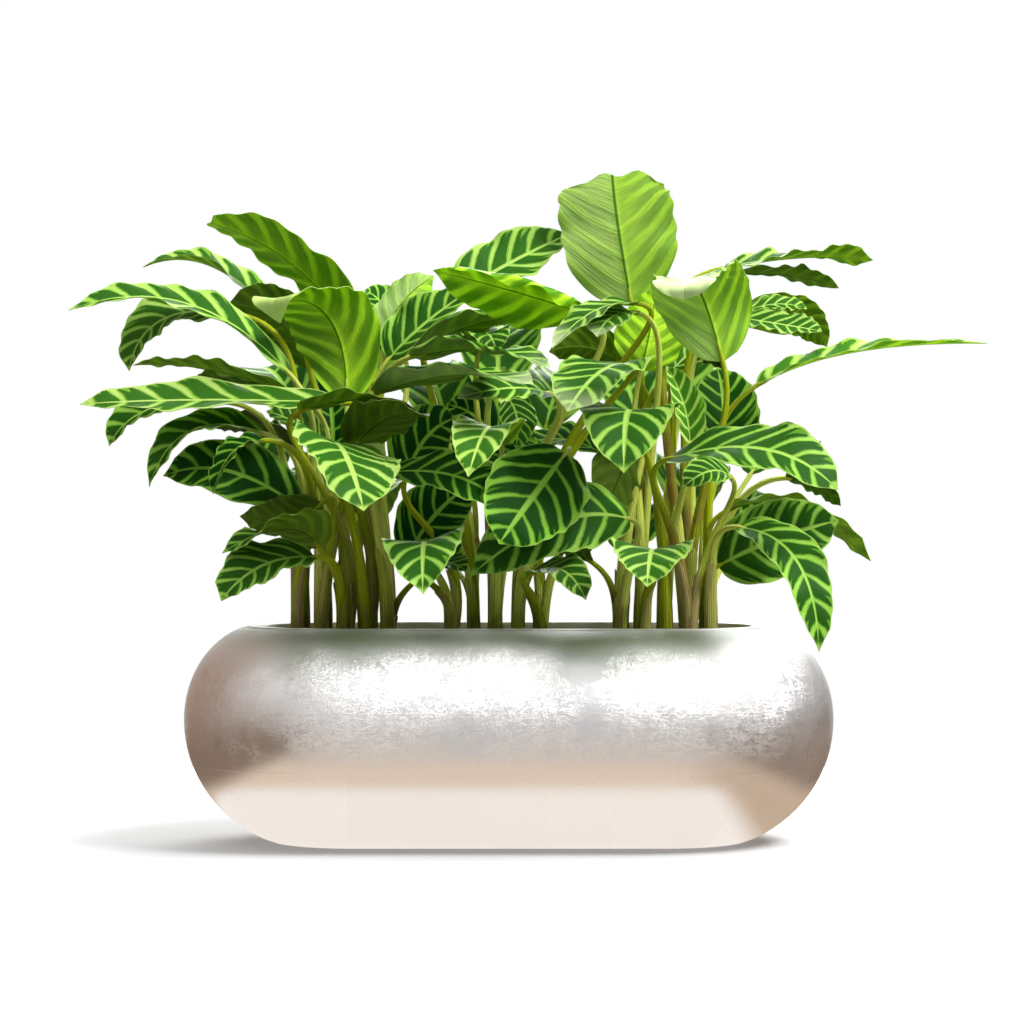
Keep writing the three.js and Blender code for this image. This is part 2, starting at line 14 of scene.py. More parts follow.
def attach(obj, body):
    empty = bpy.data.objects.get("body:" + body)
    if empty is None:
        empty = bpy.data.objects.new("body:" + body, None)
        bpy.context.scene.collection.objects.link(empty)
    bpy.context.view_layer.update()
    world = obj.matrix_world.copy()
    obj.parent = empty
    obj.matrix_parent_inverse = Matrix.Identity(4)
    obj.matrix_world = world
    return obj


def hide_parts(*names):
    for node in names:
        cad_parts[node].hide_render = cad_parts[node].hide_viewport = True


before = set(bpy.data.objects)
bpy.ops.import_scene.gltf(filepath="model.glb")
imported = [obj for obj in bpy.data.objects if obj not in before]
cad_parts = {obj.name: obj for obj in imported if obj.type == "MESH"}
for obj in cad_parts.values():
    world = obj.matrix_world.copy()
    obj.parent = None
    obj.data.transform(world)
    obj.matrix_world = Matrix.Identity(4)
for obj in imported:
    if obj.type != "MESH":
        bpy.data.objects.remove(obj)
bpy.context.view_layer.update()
BODY = "root"
MM = 0.001

# ---- Planter and soil: the solids' own dimensions, in mm

PLANTER = {"half_length": 400, "half_depth": 210, "height": 265, "widest_at": 150, "wall": 7, "floor": 12}
SHOULDER = {"inset": 100, "rise": 118}  # half axes of the quarter ellipse above the widest line
HEEL = {"inset": 165, "rise": -160}  # and of the one below it
SOIL = {"edge": 232, "top": 240, "slope": 60}

# ---- Plant: the solids' own dimensions, in mm

CLUMPS = {"left": (-202, 0), "middle": (-16, 0), "right": (192, 0)}
SLOT = (27, 25)
STALK = {"depth": 58, "collar": 14, "foot": 7.8, "side_foot": 5.6, "apart": 6, "lift": 0.6, "top": 3.2,
         "taper": 1.5}
BLADE = {"thickness": 1.2, "rib_at_base": 2.4, "rib_at_tip": 0.4}
WAVE = {"share": 0.045, "count": 2.3, "stride": 0.618, "across": 0.37}
STALK_RINGS = (0, 0.38, 0.72)
BLADE_RINGS = (0, 0.09, 0.23, 0.4, 0.57, 0.74, 0.9, 1)
RISE = 0.62
REACH = 0.27

# ---- Leaves: each point is a sighting [column, row, depth]. Column and row are where it is seen in a
# frame of 1024 x 1024 by an eye that looks level along +Y, and depth is its Y in mm.

FRAME_SIZE = 1024
EYE = {"x": 4, "y": -3800, "z": 405, "mm_per_column": 1.235}

# Shoots: clump, slot of the foot, and leaves. A leaf is [blade's base, middle, tip, width in mm, fold
# along the rib in degrees, youth, direction of its upper side at the base, and at the tip if it differs].
WIDTH, FOLD, YOUTH, FACING, LAST = 3, 4, 5, 6, -1
SHOOTS = [
  ["left", [-2, 0], [
    [[289, 373, -20], [185, 303, -45], [68, 310, -70], 76, 14, .45, [0, -.4, .9], [-.2, -.45, .85]],
    [[236, 314, 15], [162, 320, 0], [129, 371, -25], 80, 18, .55, [-.4, -.6, .7], [-.55, -.75, .35]],
  ]],
  ["left", [-2, 1], [
    [[307, 366, 85], [226, 273, 105], [143, 267, 110], 70, 20, .6, [-.1, -.15, .97], [-.1, -.25, .95]],
  ]],
  ["left", [-1, 1], [
    [[309, 368, 40], [280, 322, 35], [227, 305, 45], 96, 10, .2, [.3, .8, .5]],
    [[296, 396, 45], [210, 369, 60], [133, 365, 65], 52, 12, .3, [0, .3, .95], [0, .2, .97]],
    [[282, 404, 130], [232, 384, 150], [190, 388, 160], 66, 12, .1, [0, .45, .9]],
  ]],
  ["left", [-1, -1], [
    [[345, 403, -60], [205, 400, -120], [80, 404, -140], 88, 12, .65, [0, -.38, .9], [-.2, -.58, .76]],
  ]],
  ["left", [-2, -1], [
    [[266, 434, -70], [192, 430, -90], [149, 487, -100], 60, 22, .35, [-.35, -.45, .8], [-.6, -.7, .35]],
    [[225, 402, -20], [150, 409, -35], [109, 446, -45], 62, 24, .35, [-.4, -.6, .7], [-.5, -.75, .4]],
  ]],
  ["left", [-1, 0], [
    [[296, 448, 10], [250, 427, 25], [204, 426, 38], 70, 10, 0, [-.1, .45, .88]],
  ]],
  ["left", [-2, -2], [
    [[300, 508, -50], [228, 471, -40], [163, 476, -30], 88, 12, .1, [-.15, -.8, .55], [-.25, -.7, .6]],
  ]],
  ["left", [-1, -2], [
    [[264, 440, -115], [232, 453, -130], [213, 494, -135], 40, 24, .05, [-.4, -.5, .75], [-.6, -.65, .4]],
    [[322, 503, -90], [286, 519, -95], [240, 516, -90], 62, 10, .2, [.1, .8, .5]],
  ]],
  ["left", [0, -2], [
    [[320, 548, -110], [284, 528, -140], [222, 553, -165], 88, 10, .3, [-.15, .5, .8], [-.3, -.55, .75]],
    [[315, 557, -150], [262, 566, -190], [221, 601, -215], 88, 14, .4, [-.25, -.6, .75], [-.4, -.75, .5]],
  ]],
  ["left", [1, -2], [
    [[330, 441, -110], [346, 456, -212], [364, 511, -285], 132, 8, .55, [.32, -.1, .95], [.3, -.85, .5]],
  ]],
  ["left", [0, 2], [
    [[362, 352, 60], [298, 268, 60], [208, 222, 50], 98, 10, .6, [.5, .6, .6], [.3, .35, .85]],
  ]],
  ["left", [0, -1], [
    [[347, 401, -40], [330, 320, -50], [276, 298, -135], 112, 6, .8, [.05, .95, .25], [-.3, -.4, .85]],
  ]],
  ["left", [1, -1], [
    [[352, 449, -70], [388, 418, -112], [430, 416, -145], 86, 10, .2, [.1, .5, .85], [.25, -.15, .95]],
    [[300, 411, -95], [355, 399, -140], [417, 410, -165], 60, 8, .3, [0, .2, .98]],
  ]],
  ["left", [0, 1], [
    [[333, 455, 60], [332, 415, 75], [326, 368, 95], 86, 10, 0, [0, -.97, .2]],
    [[322, 445, -30], [298, 424, -25], [266, 411, -20], 52, 14, .5, [.3, -.6, .7]],
  ]],
  ["left", [1, 1], [
    [[384, 346, 80], [400, 306, 95], [434, 276, 110], 66, 8, .9, [.5, .8, .3]],
    [[389, 359, 25], [422, 326, 25], [470, 290, 30], 92, 18, .35, [-.45, -.7, .55]],
  ]],
  ["left", [2, -2], [
    [[392, 472, -130], [458, 477, -180], [506, 508, -205], 72, 12, .15, [.1, -.7, .65], [.2, -.85, .4]],
  ]],
  ["left", [2, -1], [
    [[376, 393, -55], [456, 374, -130], [534, 385, -190], 108, 12, .3, [0, .3, .95], [.15, -.35, .9]],
  ]],
  ["left", [2, 0], [
    [[411, 357, -60], [482, 349, -105], [550, 367, -150], 108, 10, .3, [0, .3, .95], [.25, -.45, .85]],
    [[418, 578, -60], [442, 562, -100], [467, 572, -120], 56, 10, .2, [.1, -.3, .95], [.1, -.6, .75]],
  ]],
  ["left", [2, 1], [
    [[412, 354, -10], [490, 320, -20], [568, 326, -50], 84, 10, .35, [0, .45, .9], [.1, -.1, .98]],
  ]],
  ["left", [1, 2], [
    [[352, 400, 150], [368, 330, 220], [384, 318, 330], 116, 12, .3, [0, -.9, .4], [0, .35, .95]],
    [[356, 520, 140], [366, 482, 210], [374, 532, 290], 102, 12, .15, [0, -.9, .4], [0, .35, .95]],
    [[400, 338, 160], [384, 306, 165], [364, 290, 165], 60, 12, .2, [0, -.6, .8]],
  ]],
  ["left", [-1, 2], [
    [[300, 420, 150], [270, 370, 215], [245, 385, 305], 108, 12, .25, [.2, -.9, .4], [-.1, .35, .95]],
    [[312, 505, 140], [290, 470, 205], [276, 520, 280], 98, 12, .2, [.1, -.9, .4], [-.1, .35, .95]],
  ]],
  ["left", [-2, 2], [
    [[280, 470, 130], [240, 440, 190], [205, 480, 270], 98, 12, .2, [.4, -.8, .4], [-.3, .3, .95]],
  ]],
  ["middle", [-2, -2], [
    [[430, 560, -105], [424, 543, -190], [423, 594, -255], 102, 10, .4, [-.12, -.1, 1], [-.12, -.85, .45]],
  ]],
  ["middle", [0, -2], [
    [[501, 446, -110], [488, 428, -205], [468, 477, -265], 86, 16, .7, [0, -.1, 1], [-.2, -.85, .5]],
  ]],
  ["middle", [1, -2], [
    [[566, 453, -130], [532, 498, -200], [499, 544, -225], 122, 8, .15, [.1, -.95, .35]],
  ]],
  ["middle", [2, -2], [
    [[526, 577, -110], [560, 569, -165], [586, 600, -195], 58, 14, .5, [0, -.5, .85], [.2, -.8, .5]],
  ]],
  ["middle", [1, -1], [
    [[632, 364, -115], [600, 372, -200], [567, 412, -255], 112, 8, .4, [-.1, -.2, .95], [-.15, -.65, .75]],
  ]],
  ["middle", [0, -1], [
    [[549, 393, -120], [510, 388, -160], [457, 398, -185], 62, 12, .4, [0, -.65, .75]],
    [[478, 356, -60], [487, 334, -110], [497, 353, -145], 62, 12, .4, [-.05, -.1, 1], [0, -.8, .55]],
  ]],
  ["middle", [-2, -1], [
    [[405, 480, -40], [426, 438, -50], [456, 418, -60], 84, 10, .05, [0, -.92, .35]],
    [[408, 556, -10], [436, 514, -20], [474, 482, -30], 90, 10, 0, [0, -.92, .35]],
  ]],
  ["middle", [2, 0], [
    [[500, 454, -10], [480, 420, -10], [446, 404, 0], 74, 10, 0, [0, -.93, .35]],
    [[572, 484, -40], [526, 470, -60], [478, 480, -75], 84, 10, 0, [0, -.9, .4]],
  ]],
  ["middle", [0, 0], [
    [[584, 313, -30], [518, 292, -60], [433, 270, -75], 88, -14, .95, [.1, .75, .6], [.1, .85, .5]],
  ]],
  ["middle", [-1, 0], [
    [[452, 297, 60], [510, 263, 75], [571, 233, 95], 98, 14, .5, [-.3, -.75, .55]],
  ]],
  ["middle", [1, 0], [
    [[637, 303, -30], [594, 311, -75], [552, 348, -110], 56, 10, .5, [-.2, -.35, .9]],
  ]],
  ["middle", [0, 1], [
    [[508, 398, 20], [517, 418, 10], [516, 448, 5], 52, 12, .3, [.3, -.85, .3]],
    [[500, 400, 110], [500, 330, 190], [515, 330, 300], 118, 12, .35, [0, -.9, .4], [0, .35, .95]],
    [[506, 500, 130], [515, 462, 205], [524, 515, 285], 100, 12, .2, [0, -.9, .4], [0, .35, .95]],
  ]],
  ["middle", [-1, 1], [
    [[450, 440, 120], [430, 375, 190], [415, 390, 290], 108, 12, .25, [.1, -.9, .4], [-.1, .35, .95]],
    [[470, 480, 100], [455, 440, 150], [448, 470, 230], 92, 12, .15, [.1, -.9, .4], [-.1, .35, .95]],
    [[454, 560, 110], [440, 530, 170], [430, 585, 235], 86, 12, .1, [.1, -.9, .4], [-.1, .35, .95]],
  ]],
  ["middle", [1, 1], [
    [[545, 430, 120], [565, 380, 190], [585, 400, 285], 106, 12, .3, [-.1, -.9, .4], [.1, .35, .95]],
    [[552, 540, 110], [570, 512, 180], [586, 560, 245], 88, 12, .15, [-.1, -.9, .4], [.1, .35, .95]],
  ]],
  ["right", [-2, -2], [
    [[630, 519, -90], [556, 522, -150], [470, 576, -175], 98, 8, .3, [0, -.9, .45]],
  ]],
  ["right", [-2, 1], [
    [[600, 452, 40], [560, 439, 50], [518, 446, 55], 72, 12, .1, [0, -.4, .9]],
  ]],
  ["right", [-2, -1], [
    [[636, 446, -30], [620, 474, -42], [606, 514, -55], 78, 10, .1, [-.1, .85, .5]],
    [[592, 562, -50], [568, 551, -60], [546, 557, -65], 34, 10, .1, [0, .3, .95]],
  ]],
  ["right", [-1, -2], [
    [[658, 563, -140], [652, 550, -220], [647, 587, -280], 100, 10, .5, [0, -.1, 1], [0, -.85, .5]],
  ]],
  ["right", [0, -2], [
    [[640, 432, -120], [628, 412, -200], [624, 473, -265], 124, 10, .4, [0, -.1, 1], [-.05, -.85, .5]],
  ]],
  ["right", [-1, -1], [
    [[641, 371, -95], [650, 330, -85], [657, 286, -40], 90, 8, .7, [.1, .95, .2]],
  ]],
  ["right", [-1, 1], [
    [[632, 306, 0], [618, 226, 20], [612, 169, 60], 152, 8, .6, [0, .97, .12], [0, .97, .2]],
  ]],
  ["right", [1, -1], [
    [[723, 362, -60], [699, 289, -72], [684, 286, -150], 124, 8, .95, [.05, .95, .3], [-.1, -.45, .85]],
  ]],
  ["right", [0, 0], [
    [[690, 444, -80], [684, 405, -85], [667, 366, -85], 52, 38, 1, [.3, -.9, .1]],
  ]],
  ["right", [-1, 0], [
    [[668, 374, 10], [690, 353, 15], [715, 334, 20], 56, 10, .7, [-.5, -.7, .5]],
    [[624, 366, 20], [588, 348, 15], [549, 352, 10], 64, 10, .25, [0, .8, .5]],
    [[634, 312, -60], [612, 317, -95], [597, 337, -120], 62, 10, .5, [-.2, -.55, .8]],
  ]],
  ["right", [1, -2], [
    [[668, 459, -150], [764, 449, -225], [838, 490, -255], 108, 8, .35, [0, -.5, .85], [.2, -.7, .65]],
    [[730, 476, -90], [710, 471, -115], [683, 487, -130], 52, 12, .3, [-.1, -.75, .6]],
  ]],
  ["right", [2, -2], [
    [[738, 527, -150], [797, 561, -215], [819, 652, -235], 66, 12, .3, [.1, -.75, .65], [.35, -.85, .35]],
  ]],
  ["right", [2, -1], [
    [[718, 566, -60], [776, 539, -100], [839, 520, -115], 100, 6, .3, [0, -.97, .2]],
    [[724, 512, -40], [792, 506, -60], [871, 561, -70], 70, 12, .35, [0, -.05, 1], [.75, .62, .35]],
  ]],
  ["right", [2, 0], [
    [[757, 385, 0], [850, 352, 20], [987, 343, 40], 56, 18, .9, [0, -.25, .96], [0, 0, 1]],
  ]],
  ["right", [1, 0], [
    [[722, 268, 50], [800, 257, 60], [873, 260, 70], 68, 12, .6, [0, -.3, .95], [.1, .75, .65]],
  ]],
  ["right", [0, 1], [
    [[732, 273, 100], [790, 275, 125], [839, 288, 135], 42, 12, .25, [0, .2, .97], [.1, .75, .65]],
  ]],
  ["right", [2, 1], [
    [[720, 460, 60], [724, 410, 60], [717, 367, 75], 94, 8, .15, [.1, -.95, .3]],
    [[724, 373, 130], [710, 358, 140], [684, 350, 150], 46, 10, 0, [.5, .4, .75]],
  ]],
  ["right", [1, 1], [
    [[738, 320, 30], [796, 317, 20], [827, 347, 0], 62, 8, .4, [.4, .75, .45]],
    [[738, 317, -40], [786, 325, -70], [822, 331, -90], 50, 12, .5, [0, -.6, .8]],
    [[740, 313, -10], [776, 304, -20], [807, 309, -25], 34, 12, .5, [0, -.6, .8]],
  ]],
  ["right", [2, 2], [
    [[786, 478, -10], [816, 485, -35], [841, 506, -50], 40, 10, .15, [.3, .6, .6]],
    [[750, 475, 140], [782, 442, 200], [808, 458, 285], 92, 12, .25, [-.4, -.8, .4], [.3, .3, .95]],
    [[742, 540, 120], [776, 512, 170], [806, 556, 215], 88, 12, .2, [-.4, -.8, .4], [.3, .3, .95]],
  ]],
  ["right", [0, 2], [
    [[680, 400, 150], [690, 320, 220], [700, 320, 330], 114, 12, .3, [0, -.9, .4], [0, .35, .95]],
    [[682, 510, 140], [692, 470, 215], [698, 522, 290], 102, 12, .2, [0, -.9, .4], [0, .35, .95]],
  ]],
  ["right", [-1, 2], [
    [[640, 430, 150], [620, 370, 215], [605, 385, 310], 106, 12, .25, [.1, -.9, .4], [-.1, .35, .95]],
    [[642, 545, 130], [632, 508, 200], [622, 560, 270], 94, 12, .15, [.1, -.9, .4], [-.1, .35, .95]],
  ]],
]

# How a frond was moved in the solids to stand clear of its neighbours: towards or away from the eye,
# and with its stalk bowed. The places are the solids' own, in the order in which they were tried.
SHIFTS = [0] + [side * step * 7 for step in range(1, 15) for side in (1, -1)]
BOWS = [(0, 0)] + [
    (reach * math.cos(turn * math.pi / 4), reach * math.sin(turn * math.pi / 4))
    for reach in (14, 28, 44) for turn in range(8)]
SAME_POINT = 0.1  # mm within which a point of a frond is one of its solid's own


def unit(vectors):
    return vectors / np.linalg.norm(vectors, axis=-1, keepdims=True)


def square_to(direction, tangent):
    """The part of a direction that is square to the tangent, of unit length."""
    across = np.sum(direction * tangent, axis=-1, keepdims=True) * tangent
    return unit(direction - across)


def sighted(point, shift):
    column, row, depth = point
    y = depth + shift
    scale = EYE["mm_per_column"] * (1 - y / EYE["y"])
    middle = FRAME_SIZE / 2
    return np.array([EYE["x"] + (column - middle) * scale, y, EYE["z"] - (row - middle) * scale])


def outline(u):
    """How wide a blade is along its rib, from 0 at its base to 1 where it is widest."""
    return np.clip(np.sin(np.pi * np.asarray(u, float) ** 0.85), 0, 1) ** 0.58


def blade_rib(leaf, shift, u):
    """Points, directions along, upper-side directions and right-hand directions at shares u of the rib."""
    base, mid, tip = (sighted(point, shift) for point in leaf[:3])
    control = mid * 2 - base / 2 - tip / 2
    u = np.asarray(u, float)[:, None]
    centre = (1 - u) ** 2 * base + 2 * u * (1 - u) * control + u ** 2 * tip
    along = unit((1 - u) * (control - base) + u * (tip - control))
    facing = np.array(leaf[FACING], float) * (1 - u * u) + np.array(leaf[LAST], float) * u * u
    up = square_to(facing, along)
    return centre, along, up, np.cross(along, up)


def margin_wave(leaf, index, side, u):
    """How far a blade's margin rises and falls, in mm."""
    phase = index * WAVE["stride"] + side * WAVE["across"]
    return leaf[WIDTH] * WAVE["share"] * np.sin(2 * np.pi * (WAVE["count"] * u + phase)) * outline(u)


def stalk_line(foot, leaf, shift, bow, s):
    """Points and directions of a stalk from its collar to its blade, and the blade's upper side."""
    centre, along, up, _ = blade_rib(leaf, shift, [0.0])
    top, arriving = centre[0], along[0]
    collar = np.array([foot[0], foot[1], SOIL["top"] + STALK["collar"]])
    span = np.linalg.norm(collar - top)
    climb = collar + np.array([bow[0], bow[1], span * RISE])
    arrive = top - arriving * span * REACH
    s = np.asarray(s, float)[:, None]
    rest = 1 - s
    line = rest ** 3 * collar + 3 * rest ** 2 * s * climb + 3 * rest * s ** 2 * arrive + s ** 3 * top
    slope = rest ** 2 * (climb - collar) + 2 * rest * s * (arrive - climb) + s ** 2 * (top - arrive)
    return line, unit(slope), up[0]


def solid_margins(leaf, index, shift):
    """The margins' own points in the solids, which tell how far the blade was moved."""
    u = np.array(BLADE_RINGS[1:-1])
    centre, _, up, right = blade_rib(leaf, shift, u)
    half = leaf[WIDTH] / 2 * outline(u)
    angle = math.radians(leaf[FOLD])
    points = []
    for side in (1, -1):
        lift = half * math.sin(angle) + margin_wave(leaf, index, side, u)
        edge = centre + right * (side * half * math.cos(angle))[:, None] + up * lift[:, None]
        points.extend(edge + up * BLADE["thickness"] / 2)
    return points


def stalk_radius(radius, s):
    """How thick a stalk is at shares s of its length, from its foot's radius."""
    return STALK["top"] + (radius - STALK["top"]) * (1 - s) ** STALK["taper"]


def solid_stalk(foot, radius, leaf, shift, bow):
    """The front points of a stalk's rings in the solids, which tell how it was bowed."""
    line, slope, up = stalk_line(foot, leaf, shift, bow, STALK_RINGS)
    points = []
    for place, direction, s in list(zip(line, slope, STALK_RINGS))[::-1]:
        up = square_to(up, direction)
        points.append(place + up * stalk_radius(radius, s))
    return points


def found(points, tree):
    return sum(tree.find(Vector(point) * MM)[2] < SAME_POINT * MM for point in points)


def foot_of(clump, column, row, leaf, i):
    """Where a stalk stands: a shoot's first on its slot, the others beside it towards their leaves."""
    x, y = CLUMPS[clump]
    foot = np.array([x + column * SLOT[0], y + row * SLOT[1], SOIL["top"] - STALK["depth"]])
    if i > 0:
        lean = (sighted(leaf[0], 0) - foot) * (1, 1, 0)
        foot = foot + lean * STALK["apart"] / np.linalg.norm(lean)
        foot[2] = SOIL["top"] + STALK["lift"]
    return foot


def list_fronds():
    """Every frond with its node, foot and the move that the solids gave it."""
    fronds = []
    numbers = {clump: 0 for clump in CLUMPS}
    for clump, (column, row), leaves in SHOOTS:
        numbers[clump] += 1
        node = f"{clump}_shoot_{numbers[clump]:02d}"
        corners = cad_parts[node].data.vertices
        tree = KDTree(len(corners))
        for i, corner in enumerate(corners):
            tree.insert(corner.co, i)
        tree.balance()
        for i, leaf in enumerate(leaves):
            foot = foot_of(clump, column, row, leaf, i)
            radius = STALK["side_foot"] if i else STALK["foot"]
            index = len(fronds)
            shift = max(SHIFTS, key=lambda s: found(solid_margins(leaf, index, s), tree))
            bow = max(BOWS, key=lambda b: found(solid_stalk(foot, radius, leaf, shift, b), tree))
            fronds.append({"node": node, "leaf": leaf, "index": index, "foot": foot, "radius": radius,
                           "shift": shift, "bow": bow})
    return fronds


# ---- Node materials


class Value:
    """One value in a tree of nodes, with which sums are written as plain arithmetic."""

    def __init__(self, shader, socket):
        self.shader = shader
        self.socket = socket

    def __add__(self, other):
        return self.shader.math("ADD", self, other)

    def __sub__(self, other):
        return self.shader.math("SUBTRACT", self, other)

    def __rsub__(self, other):
        return self.shader.math("SUBTRACT", other, self)

    def __mul__(self, other):
        return self.shader.math("MULTIPLY", self, other)

    def __abs__(self):
        return self.shader.math("ABSOLUTE", self)


class Shader:
    """Makes the nodes of a material or a world by short calls."""

    def __init__(self, owner):
        owner.use_nodes = True
        self.owner = owner
        self.tree = owner.node_tree
        self.tree.nodes.clear()

    def node(self, kind, inputs=(), **settings):
        made = self.tree.nodes.new(kind)
        for key, value in settings.items():
            setattr(made, key, value)
        for key, value in dict(inputs).items():
            self.feed(made.inputs[key], value)
        return made

    def value(self, kind, inputs=(), output=0, **settings):
        """What one output of a new node gives."""
        return Value(self, self.node(kind, inputs, **settings).outputs[output])

    def feed(self, socket, value):
        if isinstance(value, Value):
            self.tree.links.new(value.socket, socket)
        elif socket.type == "RGBA":
            socket.default_value = (*value, 1)
        else:
            socket.default_value = value

    def math(self, operation, *values, clamp=False):
        return self.value("ShaderNodeMath", enumerate(values), operation=operation, use_clamp=clamp)

    def mix(self, share, a, b, kind="MIX"):
        made = self.node("ShaderNodeMix", {0: share}, data_type="RGBA", blend_type=kind, clamp_factor=True)
        first, second, result = (
            socket for socket in (*made.inputs, *made.outputs) if socket.type == "RGBA")
        self.feed(first, a)
        self.feed(second, b)
        return Value(self, result)

    def tinted(self, colour, tint):
        return self.mix(1.0, colour, self.vector(tint, tint, tint), "MULTIPLY")

    def step(self, value, low, high, out=(0, 1)):
        """A smooth step of value from low to high."""
        inputs = enumerate((value, low, high, *out))
        return self.value("ShaderNodeMapRange", inputs, interpolation_type="SMOOTHSTEP")

    def noise(self, where, scale, detail=3.0, rough=0.5, distortion=0.0):
        return self.value("ShaderNodeTexNoise", {
            "Vector": where, "Scale": scale, "Detail": detail, "Roughness": rough,
            "Distortion": distortion})

    def split(self, vector):
        outputs = self.node("ShaderNodeSeparateXYZ", {"Vector": vector}).outputs
        return [Value(self, socket) for socket in outputs]

    def attribute(self, name):
        return self.split(self.value("ShaderNodeAttribute", output="Vector", attribute_name=name))

    def vector(self, *values):
        return self.value("ShaderNodeCombineXYZ", enumerate(values))

    def place(self):
        return self.value("ShaderNodeTexCoord", output="Object")

    def bump(self, height, distance, strength):
        return self.value("ShaderNodeBump", {"Height": height, "Distance": distance, "Strength": strength})

    def ray(self, kind):
        """1 for rays of that kind, 0 for others."""
        return self.value("ShaderNodeLightPath", output=kind)

    def light(self, kind, colour, strength):
        return self.value(kind, {"Color": colour, "Strength": strength})

    def either(self, share, a, b):
        """Shader a, or b by its share."""
        return self.value("ShaderNodeMixShader", enumerate((share, a, b)))

    def finish(self, glow=None, share=0.0, **sockets):
        """Ends in a Principled shader, mixed with light let through where glow gives its colour."""
        inputs = {key.replace("_", " "): value for key, value in sockets.items()}
        end = self.value("ShaderNodeBsdfPrincipled", inputs)
        if glow is not None:
            end = self.either(share, end, self.value("ShaderNodeBsdfTranslucent", {"Color": glow}))
        self.node("ShaderNodeOutputMaterial", {"Surface": end})
        return self.owner


def new_material(name):
    return Shader(bpy.data.materials.new(name))


VEINS = 10  # fine veins to one stripe


def stripe_mask(shader, leaf, seed):
    """Masks of the upper side's pattern: the dark bands, their soft surroundings, the place across
    from the rib (0) to the margin (1), and how far off the middle of a band a point lies (0 to 0.5)."""
    along, across, stripe = leaf
    side = abs(across)
    phase = stripe + shader.noise(shader.place(), 30.0, 2.0) * 0.36 - 0.18
    ragged = shader.noise(shader.place(), 330.0, 3.0) * 0.08 - 0.04
    off = abs(shader.math("FRACT", phase) - 0.5) + ragged
    half = shader.step(side, 0.0, 0.8, (0.405, 0.315))
    band = shader.step(off, half + 0.03, half - 0.06)
    soft = shader.step(off, half + 0.14, half - 0.03)
    # a lime finger comes in from the margin, and each one has its own length
    whole_seed = shader.math("ROUND", seed * float(TINTS))
    number = shader.vector(shader.math("FLOOR", phase), shader.math("SIGN", across), whole_seed)
    start = shader.value("ShaderNodeTexWhiteNoise", {"Vector": number}, "Value") * 0.42 + 0.46
    wide = shader.step(side, start, start + 0.42) * 0.17
    finger = shader.step(off, wide - 0.035, wide + 0.02)
    finger = shader.math("MAXIMUM", finger, shader.math("LESS_THAN", side, start))
    # a band is rounded at its outer end, and starts a little off the rib
    reach = off * off * -0.75 + 0.965
    outer = shader.step(side, reach + 0.03, reach - 0.05)
    inner = shader.step(side, 0.045, 0.085)
    ends = outer * inner * shader.step(along, 0.985, 0.94)
    band = band * finger * ends
    soft = soft * ends
    return band, soft, side, off


def upper_side():
    shader = new_material("leaf_upper_side")
    leaf = shader.attribute("leaf")
    youth, seed, pale = shader.attribute("kind")
    band, soft, side, _ = stripe_mask(shader, leaf, seed)
    cloud = shader.noise(shader.place(), 16.0, 3.0)
    deep = shader.mix(cloud, (0.0015, 0.024, 0.0015), (0.005, 0.066, 0.004))
    # painted sheen: young leaves get lighter, grey-green dark bands, partly their own lighter colour and
    # partly standing in for the sheen of lit leaves
    deep = shader.mix(youth * 0.75, deep, (0.070, 0.24, 0.022))
    middle = shader.mix(youth, (0.022, 0.17, 0.006), (0.24, 0.52, 0.03))
    lime = shader.mix(cloud, (0.15, 0.43, 0.018), (0.36, 0.63, 0.085))
    fresh = shader.mix(cloud, (0.40, 0.60, 0.09), (0.58, 0.74, 0.25))
    lime = shader.mix(shader.step(youth, 0.1, 0.8), lime, fresh)
    colour = shader.mix(soft * 0.90, lime, middle)
    colour = shader.mix(band, colour, deep)
    rib = shader.step(side, 0.038, 0.012) * 0.85
    colour = shader.mix(rib, colour, shader.mix(youth, (0.26, 0.52, 0.055), (0.60, 0.78, 0.20)))
    edge = shader.step(side, 0.972, 0.992) * 0.7
    colour = shader.mix(edge, colour, (0.50, 0.66, 0.18))
    veins = shader.math("SINE", leaf[2] * (2 * math.pi * VEINS))
    fine = shader.noise(shader.vector(leaf[2] * 14.0, leaf[1], seed), 3.0, 3.0, 0.7)
    tint = fine * 0.70 + veins * 0.09 + seed * 0.35 + 0.50
    colour = shader.tinted(colour, tint)
    # paler towards the tip: partly pale leaf colour, partly painted sheen
    pale_tip_and_sheen = shader.step(leaf[0], 0.72, 0.98) * pale
    colour = shader.mix(pale_tip_and_sheen, colour, (0.66, 0.78, 0.42))
    height = shader.noise(shader.place(), 900.0, 2.0) * 0.35 + veins * 0.22 + band * 0.7
    lit = shader.mix(youth, (0.012, 0.07, 0.001), (0.36, 0.60, 0.020))
    return shader.finish(
        glow=shader.mix(0.6, colour, lit), share=0.28, Base_Color=colour, Roughness=band * 0.05 + 0.36,
        Normal=shader.bump(height, 0.0007, 0.6), Specular_IOR_Level=0.06)


